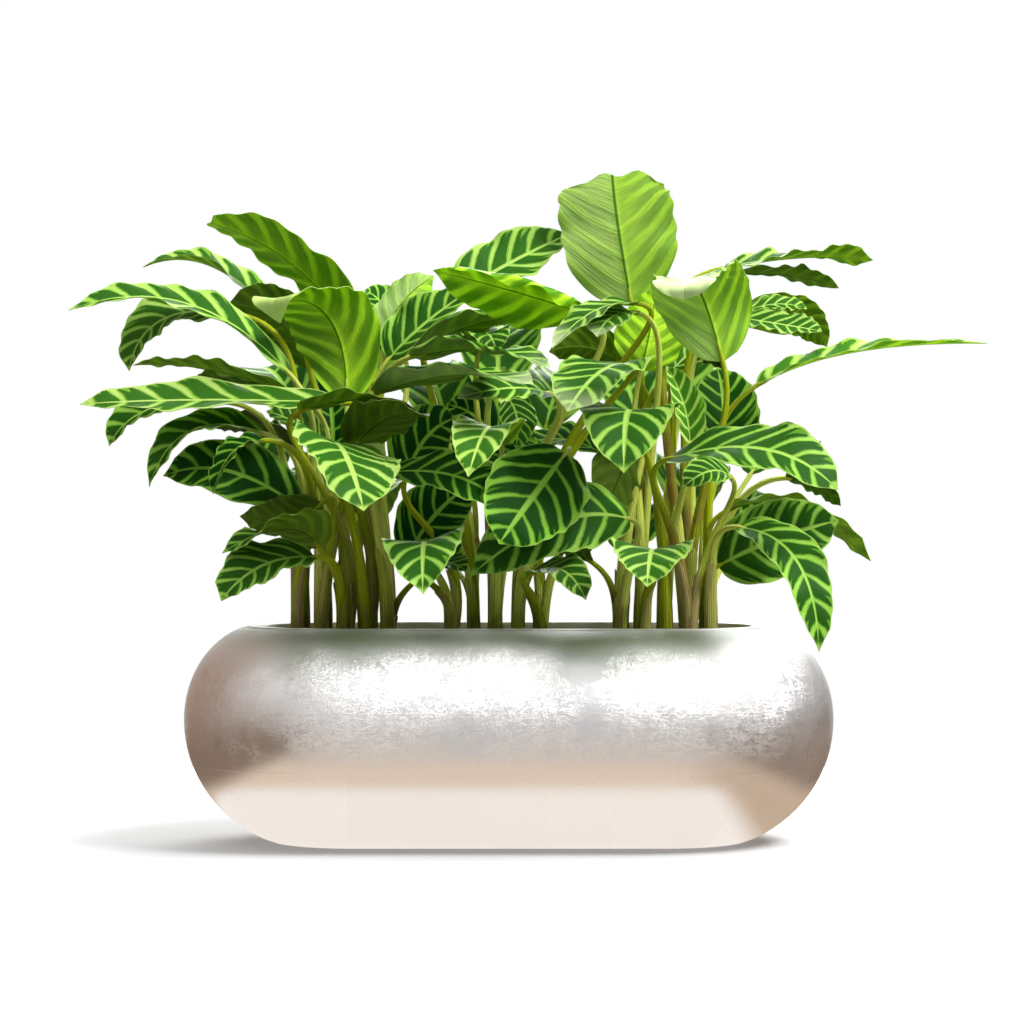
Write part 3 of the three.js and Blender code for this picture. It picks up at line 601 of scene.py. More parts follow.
def under_side():
    shader = new_material("leaf_underside")
    leaf = shader.attribute("leaf")
    youth, seed, pale = shader.attribute("kind")
    band, _, side, off = stripe_mask(shader, leaf, seed)
    # the bands show through as broad, soft ones, weaker beside the rib
    broad = shader.step(off, 0.42, 0.16) * shader.step(side, 0.02, 0.55, (0.25, 1.0))
    # pale leaves, paler on one half: partly their own pale colour, partly painted sheen
    pale = pale * shader.step(leaf[1], -0.06, 0.10, (0.25, 1.0))
    broad = broad * (pale * -0.8 + 1.0)
    broad = broad * shader.math("MULTIPLY_ADD", youth, 0.8, 0.3, clamp=True)
    cloud = shader.noise(shader.place(), 14.0, 3.0)
    old = shader.mix(cloud, (0.045, 0.095, 0.010), (0.120, 0.175, 0.028))
    young = shader.mix(cloud, (0.40, 0.74, 0.010), (0.62, 0.92, 0.055))
    colour = shader.mix(youth, old, young)
    darker = shader.mix(youth, (0.010, 0.050, 0.002), (0.080, 0.30, 0.003))
    colour = shader.mix(broad * 0.85, colour, darker)
    rib = shader.step(side, 0.036, 0.012) * 0.85
    folds = shader.noise(shader.vector(leaf[2] * 3.0, leaf[1], seed), 2.0, 3.0, 0.6)
    # painted light and shade: the colour is lightened and darkened with the folds, as light falls on their
    # relief
    tint = folds * 1.2 + seed * 0.3 + 0.48
    colour = shader.tinted(colour, tint)
    colour = shader.mix(pale * 0.85, colour, shader.mix(folds, (0.42, 0.60, 0.20), (0.70, 0.82, 0.46)))
    colour = shader.mix(rib, colour, (0.020, 0.11, 0.003))
    vein = shader.step(shader.math("PINGPONG", leaf[2], 0.5), 0.035, 0.012)
    height = folds * 3.0 + vein * 0.8
    lit = shader.mix(broad * 0.8, (0.80, 0.95, 0.008), (0.22, 0.56, 0.002))
    lit = shader.mix(youth, shader.mix(band, (0.050, 0.15, 0.002), (0.025, 0.10, 0.001)), lit)
    lit = shader.mix(rib, lit, (0.05, 0.16, 0.002))
    return shader.finish(
        glow=shader.mix(0.8, colour, lit), share=0.55, Base_Color=colour, Roughness=0.5,
        Normal=shader.bump(height, 0.0012, 0.7), Specular_IOR_Level=0.08)


def stalk_skin():
    shader = new_material("stalk_skin")
    along, around, _ = shader.attribute("leaf")
    _, seed, dry = shader.attribute("kind")
    streak_at = shader.vector(along * 1.6, around * 22.0, seed)
    streak = shader.step(shader.noise(streak_at, 3.0, 4.0, 0.6), 0.32, 0.68)
    ribs = shader.math("SINE", around * 60.0)
    patch = shader.noise(shader.place(), 22.0, 3.0)
    green = shader.mix(streak, (0.15, 0.22, 0.003), (0.55, 0.63, 0.020))
    pale = shader.mix(streak, (0.40, 0.50, 0.020), (0.78, 0.84, 0.20))
    brown = shader.mix(streak, (0.12, 0.050, 0.010), (0.36, 0.23, 0.060))
    colour = shader.mix(shader.step(seed, 0.50, 0.66), green, pale)
    reddish = shader.step(seed, 0.22, 0.12) * shader.step(along, 0.62, 0.20)
    stained = shader.step(along, 0.13, 0.0) * shader.step(patch, 0.45, 0.62)
    reddish = shader.math("MAXIMUM", reddish, stained * 0.6)
    colour = shader.mix(reddish * shader.step(patch, 0.3, 0.6), colour, brown)
    colour = shader.mix(dry, colour, shader.mix(streak, (0.22, 0.13, 0.040), (0.60, 0.48, 0.22)))
    # painted shade and highlight: the grooves between the ribs are darker, the ribs lighter
    colour = shader.tinted(colour, ribs * 0.26 + 1.0)
    height = streak * 0.6 + ribs * 0.5
    lit = shader.mix(0.5, colour, (0.36, 0.50, 0.01))
    return shader.finish(
        glow=lit, share=0.16, Base_Color=colour, Roughness=0.38,
        Normal=shader.bump(height, 0.0009, 0.6), Specular_IOR_Level=0.10)


# ---- Meshes built from grids of points

SHARP = 50  # degrees between two faces above which their edge looks sharp
STRIP = 0.005  # width in the bake map of the strip along a sheet's edge
STRIP_GAP = 0.001


def new_object(name, points, faces, slots, bake, materials):
    """A smooth object from points in mm, with its faces' materials and its corners' bake places."""
    mesh = bpy.data.meshes.new(name)
    mesh.from_pydata((points * MM).tolist(), [], faces)
    for material in materials:
        mesh.materials.append(material)
    mesh.polygons.foreach_set("material_index", slots)
    uv = mesh.uv_layers.new(name="OFBake")
    uv.data.foreach_set("uv", np.array(bake, np.float32).ravel())
    mesh.shade_smooth()
    mesh.set_sharp_from_angle(angle=math.radians(SHARP))
    made = bpy.data.objects.new(name, mesh)
    bpy.context.scene.collection.objects.link(made)
    return made


def ring_points(line, front, right, radius, turn):
    """Points round a line, each at a radius and at a turn from the line's front."""
    return (line[:, None] + front[:, None] * (radius * np.cos(turn))[..., None]
            + right[:, None] * (radius * np.sin(turn))[..., None])


class Build:
    """Collects grids of points as one mesh with its leaf places, kinds, bake places and materials."""

    def __init__(self):
        self.points, self.leaf, self.kind = [], [], []
        self.faces, self.slots, self.bake = [], [], []
        self.count = 0

    def grid(self, points, leaf, kind, slot, island, flip=False, wrap=False):
        """Adds rows x columns of points. island is the (x0, y0, x1, y1) of its place in the bake map."""
        rows, columns = points.shape[:2]
        first = self.count
        self.points.append(points.reshape(-1, 3))
        self.leaf.append(leaf.reshape(-1, 3))
        self.kind.append(np.tile(kind, (rows * columns, 1)))
        self.count += rows * columns
        x0, y0, x1, y1 = island
        steps = columns if wrap else columns - 1
        for r in range(rows - 1):
            for c in range(steps):
                corners = [(r, c), (r, c + 1), (r + 1, c + 1), (r + 1, c)]
                if flip:
                    corners = [corners[0], *corners[:0:-1]]  # both sides split along the same diagonal
                self.faces.append([first + row * columns + column % columns for row, column in corners])
                self.slots.append(slot)
                self.bake.extend(
                    (x0 + (x1 - x0) * row / (rows - 1), y0 + (y1 - y0) * column / steps)
                    for row, column in corners)
        return first

    def fan(self, first, count, slot, at, flip=False):
        """Closes a ring of points that are in the mesh already."""
        ring = [first + i for i in range(count)]
        if flip:
            ring.reverse()
        self.faces.append(ring)
        self.slots.append(slot)
        x, y, size = at
        self.bake.extend(
            (x + size * math.cos(2 * math.pi * i / count), y + size * math.sin(2 * math.pi * i / count))
            for i in range(count))

    def strip(self, one, other, slot, at, flip=False):
        """Joins two equal rows of points that are in the mesh already."""
        x0, y0, x1, y1 = at
        for i in range(len(one) - 1):
            face = [one[i], one[i + 1], other[i + 1], other[i]]
            places = [(i, 0), (i + 1, 0), (i + 1, 1), (i, 1)]
            if flip:
                face.reverse()
                places.reverse()
            self.faces.append(face)
            self.slots.append(slot)
            self.bake.extend((x0 + (x1 - x0) * a / (len(one) - 1), y0 + (y1 - y0) * b) for a, b in places)

    def hem(self, upper, under, rows, columns, upper_slot, under_slot, islands):
        """Joins two equal grids all round."""
        for start, flip in ((0, True), (columns - 1, False)):
            one = [upper + r * columns + start for r in range(rows)]
            other = [under + r * columns + start for r in range(rows)]
            x0, y0, x1, y1 = islands[0]
            y = y0 - STRIP - STRIP_GAP if start == 0 else y1 + STRIP_GAP
            self.strip(one, other, upper_slot, (x0, y, x1, y + STRIP), flip)
        for row, flip in ((0, False), (rows - 1, True)):
            one = [upper + row * columns + c for c in range(columns)]
            other = [under + row * columns + c for c in range(columns)]
            x0, y0, x1, y1 = islands[1]
            x = x0 - STRIP - STRIP_GAP if row == 0 else x1 + STRIP_GAP
            self.strip(one, other, under_slot, (x, y0, x + STRIP, y1), flip)

    def mesh_object(self, name, materials):
        points = np.concatenate(self.points)
        made = new_object(name, points, self.faces, self.slots, self.bake, materials)
        for key, values in (("leaf", self.leaf), ("kind", self.kind)):
            layer = made.data.attributes.new(key, "FLOAT_VECTOR", "POINT")
            layer.data.foreach_set("vector", np.concatenate(values).astype(np.float32).ravel())
        made.data.validate()
        return made


# ---- Fronds

TINTS = 97  # how many shades the fronds are spread over
COLUMNS = (-1, -0.95, -0.86, -0.74, -0.61, -0.48, -0.35, -0.22, -0.12, -0.06, -0.025)
ACROSS = np.array([*COLUMNS, 0, *(-c for c in reversed(COLUMNS))], float)
LEAF_THICKNESS = 0.55  # mm
ROW_STEP = 4.2  # mm between a blade's rows of points
BLADE_ROWS = (32, 68)  # the fewest and the most
STALK_SIDES = 14
STALK_STEPS = 26
STALK_END = (2.2, 0.5)  # radii where a stalk runs out into the blade's rib, in mm
SUNK = 5  # mm that stalks and sheaths go on below the soil's top
UPPER, UNDER, STEM = range(3)
ROLLED_ACROSS = np.unique([*ACROSS, *(side * place for side in (1, -1)
                                      for place in (0.66, 0.7, 0.78, 0.82, 0.9, 0.93, 0.975))])
ROLL_RADIUS = 4.5  # mm, of a rolled margin
FOLD_STEPS = 8  # rows of points in a folded-over tip
SHEATHED = 0.8  # the share of stalks that have a sheath
SHEATH_THICKNESS = 0.45  # mm
SHEATH_ROWS, SHEATH_COLUMNS = 16, 13

# What single leaves do, by their number in the order of SHOOTS.
SQUARE_ENDS = {  # the end's share of the width, its notch in mm, and lobes (place, width, reach)
    64: (0.74, -22, (0.2, 0.3, -7), (-0.6, 0.35, 1)), 16: (0.32, -4, (0.6, 0.5, 1))}
FOLDED_TIPS = {  # turn in radians, radius and length in mm, and width as a share of the blade's
    17: (2.0, 7, 52, 0.62), 65: (1.6, 6, 20, 0.62)}
ROLLED_MARGINS = {  # side, where it starts, and its turn in radians
    25: (1, 0.66, 2.7), 26: (1, 0.66, 2.7), 28: (1, 0.7, 2.4), 46: (-1, 0.55, 2.8), 3: (1, 0.8, 2.0)}
# how pale each leaf is drawn: partly its own pale colour, partly painted sheen on some upper sides
PALE_AND_SHEEN = {16: 0.25, 22: 1.0, 64: 0.5, 65: 0.7, 25: 0.5, 26: 0.3, 28: 0.3, 48: 0.8, 69: 0.8, 29: 0.2,
        39: 0.4, 40: 0.4, 17: 0.1}


def rib_depth(u, v):
    """How far the rib stands out below the blade, in mm."""
    depth = BLADE["rib_at_base"] + (BLADE["rib_at_tip"] - BLADE["rib_at_base"]) * u
    return depth * np.exp(-(v / 0.035) ** 2)


def fine_outline(u, index):
    """The solids' outline, drawn out to a short point at the tip, or squared off."""
    start = 0.9
    point = outline(start) * np.clip((1 - u) / (1 - start), 0, 1) ** 1.2
    shape = np.where(u > start, point, outline(u))
    if index in SQUARE_ENDS:
        wide = SQUARE_ENDS[index][0]
        held = wide + (1 - wide) * np.clip(1 - (np.maximum(0, u - 0.5) / 0.5) ** 3, 0, 1) ** 0.7
        shape = np.where(u > 0.5, np.maximum(held, shape), shape)
    return shape


def end_reach(index, u, v):
    """How far a squared-off end is drawn out or notched along the rib, in mm."""
    if index not in SQUARE_ENDS:
        return 0 * v
    _, notch, *lobes = SQUARE_ENDS[index]
    reach = notch + 0 * v
    for at, wide, out in lobes:
        reach = reach + (out - notch) * np.exp(-((v - at) / wide) ** 2)
    share = np.clip((u - 0.7) / 0.3, 0, 1)
    return reach * share * share


def margin_roll(over, turn):
    """How far out and how far down a strip goes that is rolled towards the underside, over in mm."""
    angle = np.minimum(over / ROLL_RADIUS, turn)
    rest = over - angle * ROLL_RADIUS
    out = ROLL_RADIUS * np.sin(angle) + rest * np.cos(angle)
    return out, -ROLL_RADIUS * (1 - np.cos(angle)) - rest * np.sin(angle)


def folded_end(centre, along, up, right, fold):
    """Adds the part of a rib that is folded over beyond the end of the solid's rib."""
    turn, radius, length, _ = fold
    steps = np.linspace(0, 1, FOLD_STEPS + 1)[1:]
    angle = turn * np.minimum(1, steps * 1.8)
    rest = length * np.maximum(0, steps - 1 / 1.8)[:, None]
    way, bent = np.cos(angle)[:, None], np.sin(angle)[:, None]
    ahead = along[-1] * way - up[-1] * bent
    arc = radius * (along[-1] * bent - up[-1] * (1 - way)) + ahead * rest
    facing = up[-1] * way + along[-1] * bent
    return (np.vstack([centre, centre[-1] + arc]), np.vstack([along, ahead]), np.vstack([up, facing]),
            np.vstack([right, np.repeat(right[-1:], FOLD_STEPS, 0)]))


def add_blade(build, frond, islands, rng):
    """A thin blade over the solid's own rib and margins, with its waves, ruffles and puckered stripes."""
    leaf, index, length = frond["leaf"], frond["index"], frond["length"]
    rows = int(np.clip(length / ROW_STEP, *BLADE_ROWS))
    u = np.linspace(0, 1, rows) ** 1.06
    centre, along, up, right = blade_rib(leaf, frond["shift"], u)
    shape = fine_outline(u, index)
    if index in FOLDED_TIPS:
        centre, along, up, right = folded_end(centre, along, up, right, FOLDED_TIPS[index])
        wide = FOLDED_TIPS[index][3]
        held = np.where(u > 0.5, np.maximum(outline(u), wide), shape)
        shape = np.concatenate([held, wide * (1 - (np.linspace(0, 1, FOLD_STEPS + 1)[1:]) ** 1.6)])
        u = np.concatenate([u, np.ones(FOLD_STEPS)])
        rows += FOLD_STEPS
    half = leaf[WIDTH] / 2 * shape * 0.985 + 0.2
    across = ROLLED_ACROSS if index in ROLLED_MARGINS else ACROSS
    angle = math.radians(leaf[FOLD])
    grid_u, grid_v = np.meshgrid(u, across, indexing="ij")
    grid_shape = np.repeat(shape[:, None], len(across), 1)
    side = np.abs(grid_v)
    # stripes start at the rib and run out towards the tip
    slant = 0.95 * leaf[WIDTH] / 2 / length
    run = slant * grid_shape * (0.62 * side + 0.38 * side ** 2)
    stripe = frond["stripes"] * (grid_u - run) + frond["seed"]
    # the solid's slow wave, ruffles at the margin, and a pucker between each two stripes
    wave = np.where(grid_v > 0, margin_wave(leaf, index, 1, grid_u), margin_wave(leaf, index, -1, grid_u))
    turn = rng.random() + 0.5 * (grid_v > 0)
    ruffle = frond["ruffle"] * np.sin(2 * np.pi * (stripe + turn))
    ruffle = ruffle + 1.4 * np.sin(2 * np.pi * (4.7 * grid_u + 2.7 * turn))
    pucker = 3 * np.cos(2 * np.pi * stripe) * side * (1.15 - side)
    lift = side ** 1.2 * half[:, None] * math.sin(angle) + wave * side ** 1.8
    lift = lift + (ruffle * side ** 3 - pucker) * grid_shape
    scallop = 1 - side ** 6 * (0.022 - 0.022 * np.cos(2 * np.pi * stripe + 1.2))
    out = grid_v * half[:, None] * math.cos(angle) * scallop
    if index in ROLLED_MARGINS:
        way, start, turned = ROLLED_MARGINS[index]
        over = np.maximum(0, grid_v * way - start) * half[:, None]
        over = over * (0.75 + 0.35 * np.sin(2 * np.pi * (3.1 * grid_u + frond["seed"])))
        rolled, drop = margin_roll(over, turned)
        out = np.where(over > 0, way * (start * half[:, None] * math.cos(angle) + rolled), out)
        lift = lift + drop
    top = centre[:, None] + right[:, None] * out[..., None] + up[:, None] * lift[..., None]
    top = top + along[:, None] * end_reach(index, grid_u, grid_v)[..., None]
    groove = 0.35 * np.exp(-(grid_v / 0.03) ** 2)
    bottom = top - up[:, None] * (LEAF_THICKNESS + rib_depth(grid_u, grid_v))[..., None]
    top = top - up[:, None] * groove[..., None]
    place = np.stack([grid_u, grid_v, stripe], axis=-1)
    kind = (leaf[YOUTH], frond["tint"], PALE_AND_SHEEN.get(index, 0))
    upper = build.grid(top, place, kind, UPPER, islands[0])
    under = build.grid(bottom, place, kind, UNDER, islands[1], flip=True)
    build.hem(upper, under, rows, len(across), UPPER, UNDER, islands)


def add_stalk(build, frond, island):
    """A grooved stalk from below the soil's top to its blade, where it runs out along the rib."""
    leaf, foot, radius = frond["leaf"], frond["foot"], frond["radius"]
    s = np.linspace(0, 1, STALK_STEPS)
    line, slope, up = stalk_line(foot, leaf, frond["shift"], frond["bow"], s)
    ups = []
    for direction in slope[::-1]:
        up = square_to(up, direction)
        ups.append(up)
    ups = np.array(ups[::-1])
    below = np.array([foot[0], foot[1], min(foot[2], SOIL["top"] - SUNK)])
    rib, along, rib_up, _ = blade_rib(leaf, frond["shift"], [0.05, 0.12])
    line = np.vstack([below, line, rib - rib_up * 1.6])
    slope = np.vstack([slope[:1], slope, along])
    ups = np.vstack([ups[:1], ups, rib_up])
    s = np.concatenate([[0], s, [1, 1]])
    thick = stalk_radius(radius, s)
    thick[-2:] = STALK_END
    right = np.cross(slope, ups)
    turn = np.linspace(0, 2 * np.pi, STALK_SIDES, endpoint=False)
    fluted = 1 - 0.20 * np.exp(-((np.minimum(turn, 2 * np.pi - turn)) / 0.45) ** 2)
    ring = thick[:, None] * fluted[None]
    points = ring_points(line, ups, right, ring, turn)
    around = np.abs(turn / np.pi - 1)
    place = np.stack(np.broadcast_arrays(s[:, None], around[None], 0 * ring), axis=-1)
    kind = (leaf[YOUTH], frond["tint"], 0)
    first = build.grid(points, place, kind, STEM, island, wrap=True)
    last = first + (len(line) - 1) * STALK_SIDES
    x0, _, x1, y1 = island
    build.fan(first, STALK_SIDES, STEM, (x0 + 0.01, y1 + 0.012, 0.005), flip=True)
    build.fan(last, STALK_SIDES, STEM, (x1 - 0.01, y1 + 0.012, 0.005))


def add_sheath(build, frond, rng, islands):
    """The leafy sheath that wraps the lower part of a stalk and ends in a free point; some sheaths are
    drawn dry.
    """
    leaf, foot, radius = frond["leaf"], frond["foot"], frond["radius"]
    span = np.linalg.norm(sighted(leaf[0], frond["shift"]) - foot)
    height = rng.uniform(0.2, 0.5) * min(span, 330)
    rows, columns = SHEATH_ROWS, SHEATH_COLUMNS
    s = np.linspace(0, height / span, rows - 1)
    line, slope, _ = stalk_line(foot, leaf, frond["shift"], frond["bow"], s)
    line = np.vstack([[foot[0], foot[1], SOIL["top"] - SUNK], line])
    slope = np.vstack([slope[:1], slope])
    facing = rng.uniform(-2.4, 2.4)
    front = square_to(np.tile((math.sin(facing), -math.cos(facing), 0), (rows, 1)), slope)
    right = np.cross(slope, front)
    t = np.linspace(0, 1, rows)[:, None]
    thick = stalk_radius(radius, t * height / span)
    wrap = np.linspace(-1, 1, columns)[None] * 2.5 * (1 - 0.99 * t ** 2.2) ** 0.6
    ring = thick + 0.5 + 0.9 * (1 - t) + rng.uniform(0.5, 2.6) * t ** 5 + 0.3 * np.sin(9 * t + 2 * wrap)
    outer = ring_points(line, front, right, ring, wrap)
    inner = ring_points(line, front, right, ring - SHEATH_THICKNESS, wrap)
    place = np.stack(np.broadcast_arrays(t * 0.3, wrap / 3 + frond["seed"], 0 * ring), axis=-1)
    dry = rng.choice((0.0, 0.1, 0.25, 0.5, 0.85))
    kind = (leaf[YOUTH], rng.randrange(TINTS) / TINTS, dry)
    upper = build.grid(outer, place, kind, STEM, islands[0])
    under = build.grid(inner, place, kind, STEM, islands[1], flip=True)
    build.hem(upper, under, rows, columns, STEM, STEM, islands)


def bake_islands(number, total):
    """Places in the bake map of one of a shoot's fronds: its two sides, its stalk, and its sheath's two."""
    low, span = number / total, 1 / total
    gap = 0.012
    return [(0.015, low + span * a + gap, 0.985, low + span * b - gap)
            for a, b in ((0, 0.33), (0.33, 0.66), (0.66, 0.79), (0.79, 0.89), (0.89, 0.99))]


def make_shoots(materials):
    fronds = list_fronds()
    by_node = {}
    for frond in fronds:
        by_node.setdefault(frond["node"], []).append(frond)
    for node, group in by_node.items():
        build = Build()
        for number, frond in enumerate(group):
            rng = random.Random(1000 + frond["index"])
            base, _, tip = (sighted(point, 0) for point in frond["leaf"][:3])
            frond["length"] = np.linalg.norm(tip - base)
            frond["seed"] = rng.random()
            frond["tint"] = rng.randrange(TINTS) / TINTS
            frond["stripes"] = round(4.6 + frond["length"] / 160 + rng.random() * 1.4)
            frond["ruffle"] = rng.uniform(0.8, 2.3)
            islands = bake_islands(number, len(group))
            add_blade(build, frond, islands, rng)
            add_stalk(build, frond, islands[2])
            if rng.random() < SHEATHED:
                add_sheath(build, frond, rng, islands[3:])
        shoot = build.mesh_object("fine_" + node, materials)
        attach(shoot, BODY)
        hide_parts(node)


# ---- Planter

SHEETS_PER_MM = 0.0118  # sheets of silver leaf
LIP = 1.1  # mm by which the lip is rounded off
STRAIGHT_STEPS = 12
END_STEPS = 36
HEEL_STEPS = 16
SHOULDER_STEPS = 20
LIP_STEPS = 8
CAP_WIDE, CAP_TALL, CAP_LOW = 0.46, 0.23, 0.75  # where a cap lies in the bake map
HEM = {"drop": 5, "thick": 1.4}  # the rim's inner edge, turned down, in mm


def silver_leaf():
    shader = new_material("silver_leafing")
    wrap = shader.attribute("wrap")
    place = shader.place()
    sheets = shader.node("ShaderNodeTexBrick", {
        "Vector": shader.vector(wrap[0], wrap[1], 0.0), "Scale": 1.0, "Mortar Size": 0.006,
        "Mortar Smooth": 1.0, "Brick Width": 0.92, "Row Height": 0.86, "Color1": (0.0, 0.0, 0.0),
        "Color2": (1.0, 1.0, 1.0), "Mortar": (0.5, 0.5, 0.5)}, offset=0.0)
    shades, seam = (Value(shader, sheets.outputs[name]) for name in ("Color", "Fac"))
    tone = shader.value("ShaderNodeSeparateColor", {"Color": shades})
    along, away, high = shader.split(place)
    # the leafing is creased about the widest line and smooth below it
    belt = shader.step(high, 0.100, 0.135) * shader.step(high, 0.262, 0.215)
    belt = belt * shader.step(shader.noise(place, 9.0, 3.0, 0.6), 0.30, 0.62)
    level = shader.vector(along * 0.35, away * 0.35, high)
    creases = abs(shader.noise(level, 120.0, 5.0, 0.7, 1.4) - 0.5)
    upright = shader.vector(along, away, high * 0.4)
    crossing = abs(shader.noise(upright, 85.0, 5.0, 0.7, 1.0) - 0.5)
    creases = shader.math("MAXIMUM", shader.step(creases, 0.030, 0.0), shader.step(crossing, 0.022, 0.0))
    brushed = shader.vector(wrap[0] * 1.6, wrap[1] * 30.0, 0.0)
    brushed = shader.noise(brushed, 2.2, 5.0, 0.65)
    grain = shader.noise(place, 420.0, 3.0, 0.6)
    ripple = shader.noise(place, 13.0, 3.0, 0.5, 0.4)
    height = (creases * 0.70 + brushed * 0.5) * belt
    height = height + ripple * 0.9 + seam * 0.22 + grain * 0.20
    worn = shader.step(shader.noise(place, 7.0, 4.0, 0.6), 0.35, 0.75)
    colour = shader.mix(tone, (0.81, 0.805, 0.80), (0.84, 0.835, 0.83))
    colour = shader.mix(worn * 0.3, colour, (0.88, 0.85, 0.80))
    colour = shader.mix(seam * 0.12, colour, (0.60, 0.56, 0.50))
    # painted reflection: the band just below the lip is darkened to grey-green, standing in for the plant
    # mirrored there
    colour = shader.mix(shader.step(high, 0.236, 0.262, (0, 0.62)), colour, (0.44, 0.46, 0.43))
    # painted glints: the creases are whitened as if catching the light
    colour = shader.mix(creases * belt * 0.7, colour, (0.97, 0.97, 0.97))
    rough = worn * 0.07 + brushed * belt * 0.12 + 0.24
    # the shoulder and the lip are duller
    rough = rough + shader.step(high, 0.205, 0.250, (0, 0.22)) + shader.step(high, 0.256, 0.264, (0, 0.22))
    return shader.finish(
        Base_Color=colour, Metallic=0.92, Roughness=rough, Normal=shader.bump(height, 0.0012, 0.35),
        Specular_IOR_Level=0.5)


def pot_lining():
    shader = new_material("planter_lining")
    cloud = shader.noise(shader.place(), 20.0, 4.0)
    colour = shader.mix(cloud, (0.40, 0.41, 0.37), (0.55, 0.56, 0.51))
    return shader.finish(
        Base_Color=colour, Metallic=0.4, Roughness=0.5, Normal=shader.bump(cloud, 0.0006, 0.4),
        Specular_IOR_Level=0.4)


def profile_point(ellipse, angle, set_in):
    """An inset and a height on the wall, at an angle above or below the widest line."""
    cosine, sine = math.cos(angle), math.sin(angle)
    rise = abs(ellipse["rise"])
    steep = math.hypot(cosine / ellipse["inset"], sine / rise)
    way = math.copysign(1, ellipse["rise"])
    inset = ellipse["inset"] * (1 - cosine) + set_in * cosine / ellipse["inset"] / steep
    return inset, PLANTER["widest_at"] + way * (rise * sine - set_in * sine / rise / steep)


def profile(set_in, lowest):
    """The wall's line from its lowest height up to the rim, set in from the planter's outside."""
    above, below = PLANTER["height"] - PLANTER["widest_at"], PLANTER["widest_at"] - lowest
    heel_end = math.asin(below / (-HEEL["rise"] - set_in))
    shoulder_end = math.asin(min(1, above / (SHOULDER["rise"] - set_in)))
    low = [profile_point(HEEL, heel_end * (1 - i / HEEL_STEPS), set_in) for i in range(HEEL_STEPS)]
    return low + [profile_point(SHOULDER, shoulder_end * i / SHOULDER_STEPS, set_in)
                  for i in range(SHOULDER_STEPS + 1)]


def stadium(inset):
    """Points round the planter, and how far round its widest line each one is, in mm."""
    straight = PLANTER["half_length"] - PLANTER["half_depth"]
    radius = PLANTER["half_depth"] - inset
    points, way = [], []
    for side in (1, -1):
        for i in range(STRAIGHT_STEPS):
            gone = 2 * straight * i / STRAIGHT_STEPS
            points.append((side * (gone - straight), -side * radius))
            way.append(gone)
        for i in range(END_STEPS):
            turn = math.pi * i / END_STEPS
            points.append((side * (straight + radius * math.sin(turn)), -side * radius * math.cos(turn)))
            way.append(2 * straight + PLANTER["half_depth"] * turn)
    half = 2 * straight + PLANTER["half_depth"] * math.pi
    way = [distance + (half if i >= len(way) // 2 else 0) for i, distance in enumerate(way)]
    return points, [*way, 2 * half]


def ring_mesh(name, rings, islands, materials, slots):
    """A closed skin of stadium rings (inset, height), with its places for the bake and the sheets."""
    around, way = stadium(0)
    count = len(around)
    points = [(x, y, z) for inset, z in rings for x, y in stadium(inset)[0]]
    run = [0.0]
    for (inset, z), (last_inset, last_z) in zip(rings[1:], rings):
        run.append(run[-1] + math.hypot(inset - last_inset, z - last_z))
    faces, bake, wrap, face_slots = [], [], [], []
    for r in range(len(rings) - 1):
        island = next(i for i in islands if i["from"] <= r < i["to"])
        x0, y0, x1, y1 = island["place"]
        for c in range(count):
            corners = [(r, c), (r, c + 1), (r + 1, c + 1), (r + 1, c)]
            faces.append([row * count + column % count for row, column in corners])
            face_slots.append(slots[r])
            for row, column in corners:
                share = (run[row] - run[island["from"]]) / (run[island["to"]] - run[island["from"]])
                bake.append((x0 + (x1 - x0) * column / count, y0 + (y1 - y0) * share))
                wrap.append((way[column], run[row], 0))
    size = PLANTER["half_length"] * 2.2
    for first, flip, corner in ((0, True, 0.02), ((len(rings) - 1) * count, False, 0.52)):
        ring = list(range(first, first + count))
        if flip:
            ring.reverse()
        faces.append(ring)
        face_slots.append(slots[0] if flip else slots[-1])
        for i in ring:
            x, y, _ = points[i]
            bake.append((corner + CAP_WIDE * (x / size + 0.5), CAP_LOW + CAP_TALL * (y / size + 0.5)))
            wrap.append((x, y, 0))
    made = new_object(name, np.array(points), faces, face_slots, bake, materials)
    layer = made.data.attributes.new("wrap", "FLOAT_VECTOR", "CORNER")
    layer.data.foreach_set("vector", (np.array(wrap, np.float32) * SHEETS_PER_MM).ravel())
    return made


def make_planter(materials):
    outer = profile(0, 0)
    inner = profile(PLANTER["wall"], PLANTER["floor"])
    rim_out, rim_in = outer[-1], inner[-1]
    shares = [(1 - math.cos(math.pi * i / LIP_STEPS)) / 2 for i in range(1, LIP_STEPS)]
    lip = [(rim_out[0] + (rim_in[0] - rim_out[0]) * share, PLANTER["height"]) for share in shares]
    outer[-1] = (rim_out[0], PLANTER["height"] - LIP)
    inner[-1] = (rim_in[0], PLANTER["height"] - LIP)
    foot = [(outer[0][0] + 3, 0.0), (outer[0][0] + 0.6, 0.4)]
    hem = [(rim_in[0], rim_in[1] - HEM["drop"]), (rim_in[0] - HEM["thick"], rim_in[1] - HEM["drop"]),
           (rim_in[0] - HEM["thick"], rim_in[1] - 0.2)]
    rings = foot + outer[1:] + lip + inner[:-2:-1] + hem + inner[-2::-1]
    turn = len(foot) + len(outer) - 1 + len(lip)
    slots = [0 if r < turn else 1 for r in range(len(rings) - 1)]
    islands = [{"from": 0, "to": turn, "place": (0.02, 0.02, 0.98, 0.44)},
               {"from": turn, "to": len(rings) - 1, "place": (0.02, 0.47, 0.98, 0.71)}]
    pot = ring_mesh("fine_planter", rings, islands, materials, slots)
    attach(pot, BODY)
    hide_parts("planter")


# ---- Soil

SOIL_GAP = 0.6  # mm off the planter's inner face
CROWN_RINGS = 22
CROWN_DROP = 1.2  # mm below the solid's top, before the crumbs are raised
CRUMBS = (-1.6, 0.8)  # how far down and up a crumb stands, in mm


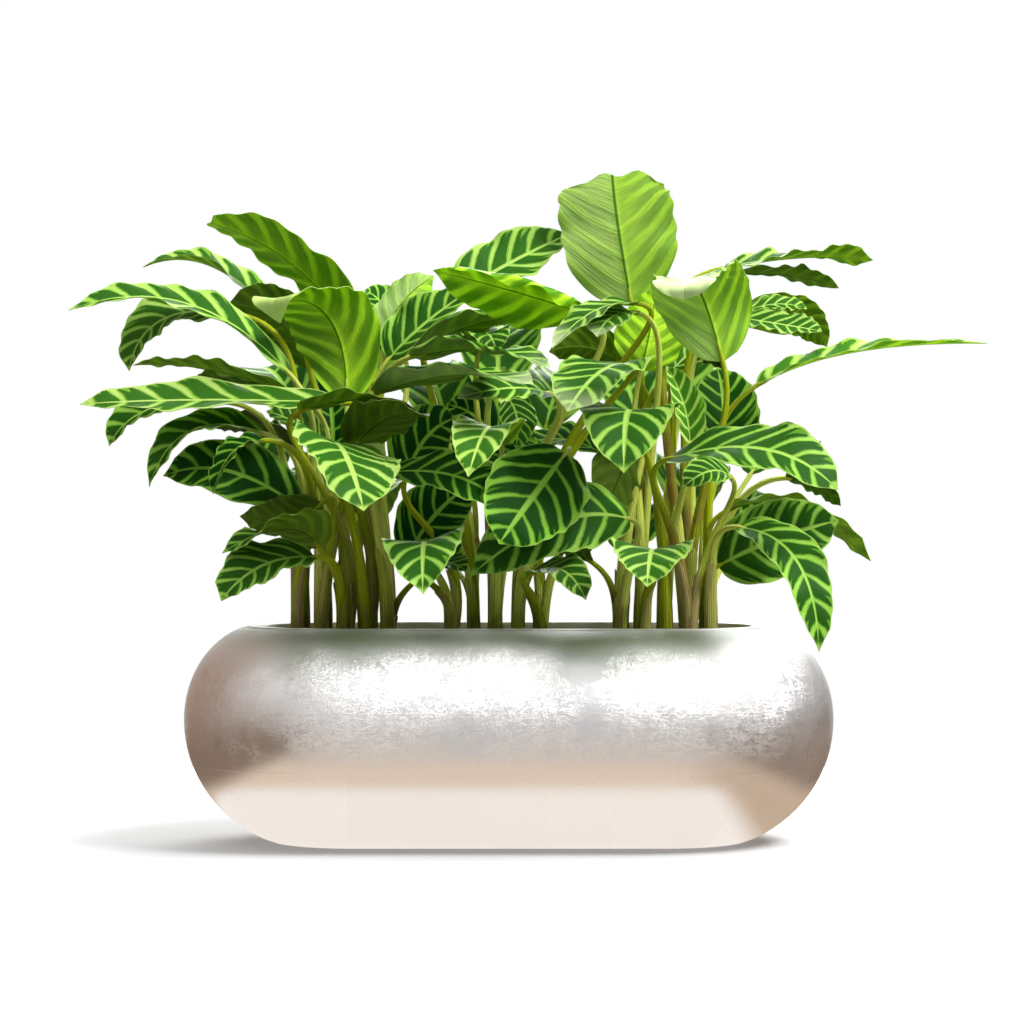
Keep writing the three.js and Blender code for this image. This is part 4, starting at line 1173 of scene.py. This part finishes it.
def potting_soil():
    shader = new_material("potting_soil")
    place = shader.place()
    clod = shader.noise(place, 60.0, 6.0, 0.65)
    crumbs = shader.value("ShaderNodeTexVoronoi", {"Vector": place, "Scale": 190.0}, "Distance")
    colour = shader.mix(clod, (0.012, 0.008, 0.005), (0.085, 0.052, 0.030))
    colour = shader.mix(shader.step(crumbs, 0.22, 0.05), colour, (0.13, 0.085, 0.050))
    height = clod - crumbs * 0.6
    return shader.finish(
        Base_Color=colour, Roughness=0.92, Normal=shader.bump(height, 0.004, 0.8), Specular_IOR_Level=0.25)


def make_soil(material):
    wall = profile(PLANTER["wall"] + SOIL_GAP, PLANTER["floor"])
    wall = [(inset, z) for inset, z in wall if z < SOIL["edge"]]
    wall[0] = (wall[0][0], PLANTER["floor"] + 1)
    rim = wall[-1][0]
    rings = list(wall)
    for i in range(1, CROWN_RINGS + 1):
        inset = rim + (PLANTER["half_depth"] - 1 - rim) * i / CROWN_RINGS
        rise = min(1, (inset - rim) / SOIL["slope"])
        rings.append((inset, SOIL["edge"] + (SOIL["top"] - CROWN_DROP - SOIL["edge"]) * rise))
    turn = len(wall) - 1
    islands = [{"from": 0, "to": turn, "place": (0.02, 0.02, 0.98, 0.3)},
               {"from": turn, "to": len(rings) - 1, "place": (0.02, 0.33, 0.98, 0.71)}]
    soil = ring_mesh("fine_soil", rings, islands, [material], [0] * (len(rings) - 1))
    around = len(stadium(0)[0])
    rng = random.Random(7)
    for i, vertex in enumerate(soil.data.vertices):
        if i // around > turn:
            vertex.co.z += rng.uniform(*CRUMBS) * MM
    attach(soil, BODY)
    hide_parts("soil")


# ---- Stage, lights and camera

WHITE = (1.0, 1.0, 1.0)
FLOOR_GAP = 0.0008  # keeps the floor clear of the planter's underside
SENSOR = 36  # mm


def make_world():
    """A white room for the eye. What shines has grey and brown walls to the sides under a white ceiling."""
    world = bpy.data.worlds.new("studio")
    bpy.context.scene.world = world
    shader = Shader(world)
    x, y, z = shader.split(shader.value("ShaderNodeTexCoord", output="Generated"))
    front = shader.mix(shader.step(z, 0.02, 0.42), (0.58, 0.58, 0.59), (0.91, 0.91, 0.91))
    left = shader.mix(shader.step(z, 0.0, 0.45), (0.41, 0.31, 0.25), (0.76, 0.73, 0.72))
    right = shader.mix(shader.step(z, 0.0, 0.16), (0.28, 0.26, 0.245), (0.70, 0.69, 0.70))
    right = shader.mix(shader.step(z, 0.2, 0.5), right, (0.92, 0.91, 0.91))
    seen = shader.mix(shader.step(x, -0.40, -0.75), front, left)
    seen = shader.mix(shader.step(x, 0.40, 0.75), seen, right)
    back = shader.mix(shader.step(x, -0.10, -0.35), (0.20, 0.25, 0.15), (0.36, 0.22, 0.15))
    back_right = shader.mix(shader.step(z, 0.0, 0.55), (0.19, 0.16, 0.135), (0.62, 0.61, 0.62))
    back = shader.mix(shader.step(x, 0.10, 0.35), back, back_right)
    seen = shader.mix(shader.step(y, -0.04, 0.22), seen, back)
    overhead = shader.step(y, 0.45, 0.75) * shader.step(abs(x), 0.50, 0.28)
    seen = shader.mix(overhead, seen, (0.62, 0.65, 0.62))
    above = shader.step(z, 0.15, 0.9) * 1.55 + 0.06
    around = shader.light("ShaderNodeBackground", WHITE, above)
    mirrored = shader.light("ShaderNodeBackground", seen, 1.0)
    behind = shader.light("ShaderNodeBackground", WHITE, 1.0)
    both = shader.either(shader.ray("Is Glossy Ray"), around, mirrored)
    both = shader.either(shader.ray("Is Camera Ray"), both, behind)
    shader.node("ShaderNodeOutputWorld", {"Surface": both})


def floor_paint():
    """A white floor. For the eye it glows as painted light away from the planter's foot, less on its left
    side. Glossy rays see it glow instead, a painted reflection that the planter mirrors: a white band round
    its foot, then beige, then grey.
    """
    shader = new_material("studio_floor")
    x, y, _ = shader.split(shader.place())
    past_end = shader.math("MAXIMUM", abs(x) - 0.19, 0.0)
    off = shader.math("SQRT", past_end * past_end + y * y)
    # painted reflection: glossy rays see the floor glow white round the planter's foot, then beige, then
    # grey, and brown past the ends
    painted_white_band = shader.step(off, 0.272, 0.222) * shader.step(x, 0.33, 0.27)
    beige = shader.mix(shader.step(x, 0.20, 0.36), (0.87, 0.68, 0.52), (0.64, 0.47, 0.33))
    seen = shader.mix(painted_white_band, beige, (1.13, 1.04, 0.97))
    seen = shader.mix(shader.step(off, 0.31, 0.52), seen, (0.61, 0.58, 0.57))
    seen = shader.mix(shader.step(off, 1.0, 1.9), seen, (0.62, 0.61, 0.62))
    seen = shader.mix(shader.step(past_end, 0.22, 0.32), seen, (0.24, 0.155, 0.105))
    dim = shader.mix(shader.ray("Is Diffuse Ray"), (0.50, 0.50, 0.50), (0.36, 0.36, 0.36))
    matte = shader.value("ShaderNodeBsdfDiffuse", {"Color": dim})
    # painted light: for the eye the floor glows white away from the planter's foot, and less so on its left
    # side, where the shadow is kept
    left_side = shader.step(x, -0.10, -0.34) * shader.step(y, -0.26, -0.18)
    painted_glow_share = shader.step(off, 0.212, 0.30) * (1.0 - left_side)
    painted_glow_share = shader.math("MAXIMUM", painted_glow_share, shader.step(off, 0.28, 0.58))
    lift = shader.ray("Is Camera Ray") * (painted_glow_share * 0.9 + 0.07)
    glow = shader.light("ShaderNodeEmission", WHITE, lift)
    both = shader.value("ShaderNodeAddShader", {0: matte, 1: glow})
    mirrored = shader.light("ShaderNodeEmission", seen, 1.0)
    end = shader.either(shader.ray("Is Glossy Ray"), both, mirrored)
    shader.node("ShaderNodeOutputMaterial", {"Surface": end})
    return shader.owner


def make_floor():
    mesh = bpy.data.meshes.new("floor")
    mesh.from_pydata([(-3, -3, 0), (3, -3, 0), (3, 1.1, 0), (-3, 1.1, 0)], [], [(0, 1, 2, 3)])
    mesh.materials.append(floor_paint())
    floor = bpy.data.objects.new("floor", mesh)
    floor.location.z = -FLOOR_GAP
    bpy.context.scene.collection.objects.link(floor)


def lamp(name, place, aim, size, power):
    data = bpy.data.lights.new(name, "AREA")
    data.shape = "DISK"
    data.size = size
    data.energy = power
    made = bpy.data.objects.new(name, data)
    made.location = place
    made.rotation_euler = (Vector(aim) - Vector(place)).to_track_quat("-Z", "Y").to_euler()
    bpy.context.scene.collection.objects.link(made)


def make_camera():
    data = bpy.data.cameras.new("camera")
    wide = EYE["mm_per_column"] * FRAME_SIZE
    data.sensor_width = SENSOR
    data.lens = SENSOR * -EYE["y"] / wide
    camera = bpy.data.objects.new("camera", data)
    camera.location = (EYE["x"] * MM, EYE["y"] * MM, EYE["z"] * MM)
    camera.rotation_euler = (math.pi / 2, 0, 0)
    bpy.context.scene.collection.objects.link(camera)
    bpy.context.scene.camera = camera


make_shoots([upper_side(), under_side(), stalk_skin()])
make_planter([silver_leaf(), pot_lining()])
make_soil(potting_soil())
make_world()
make_floor()
lamp("key", (1.9, -1.1, 2.8), (0, 0, 0.4), 1.6, 180)
lamp("front_left", (-0.38, -2.2, 1.9), (0, 0, 0.4), 0.4, 0.30)
lamp("front_right", (0.40, -2.2, 1.75), (0, 0, 0.4), 0.4, 0.30)
lamp("back", (0.3, 2.4, 1.6), (0, 0, 0.5), 2.0, 110)
make_camera()
bpy.context.scene.view_settings.view_transform = "Standard"
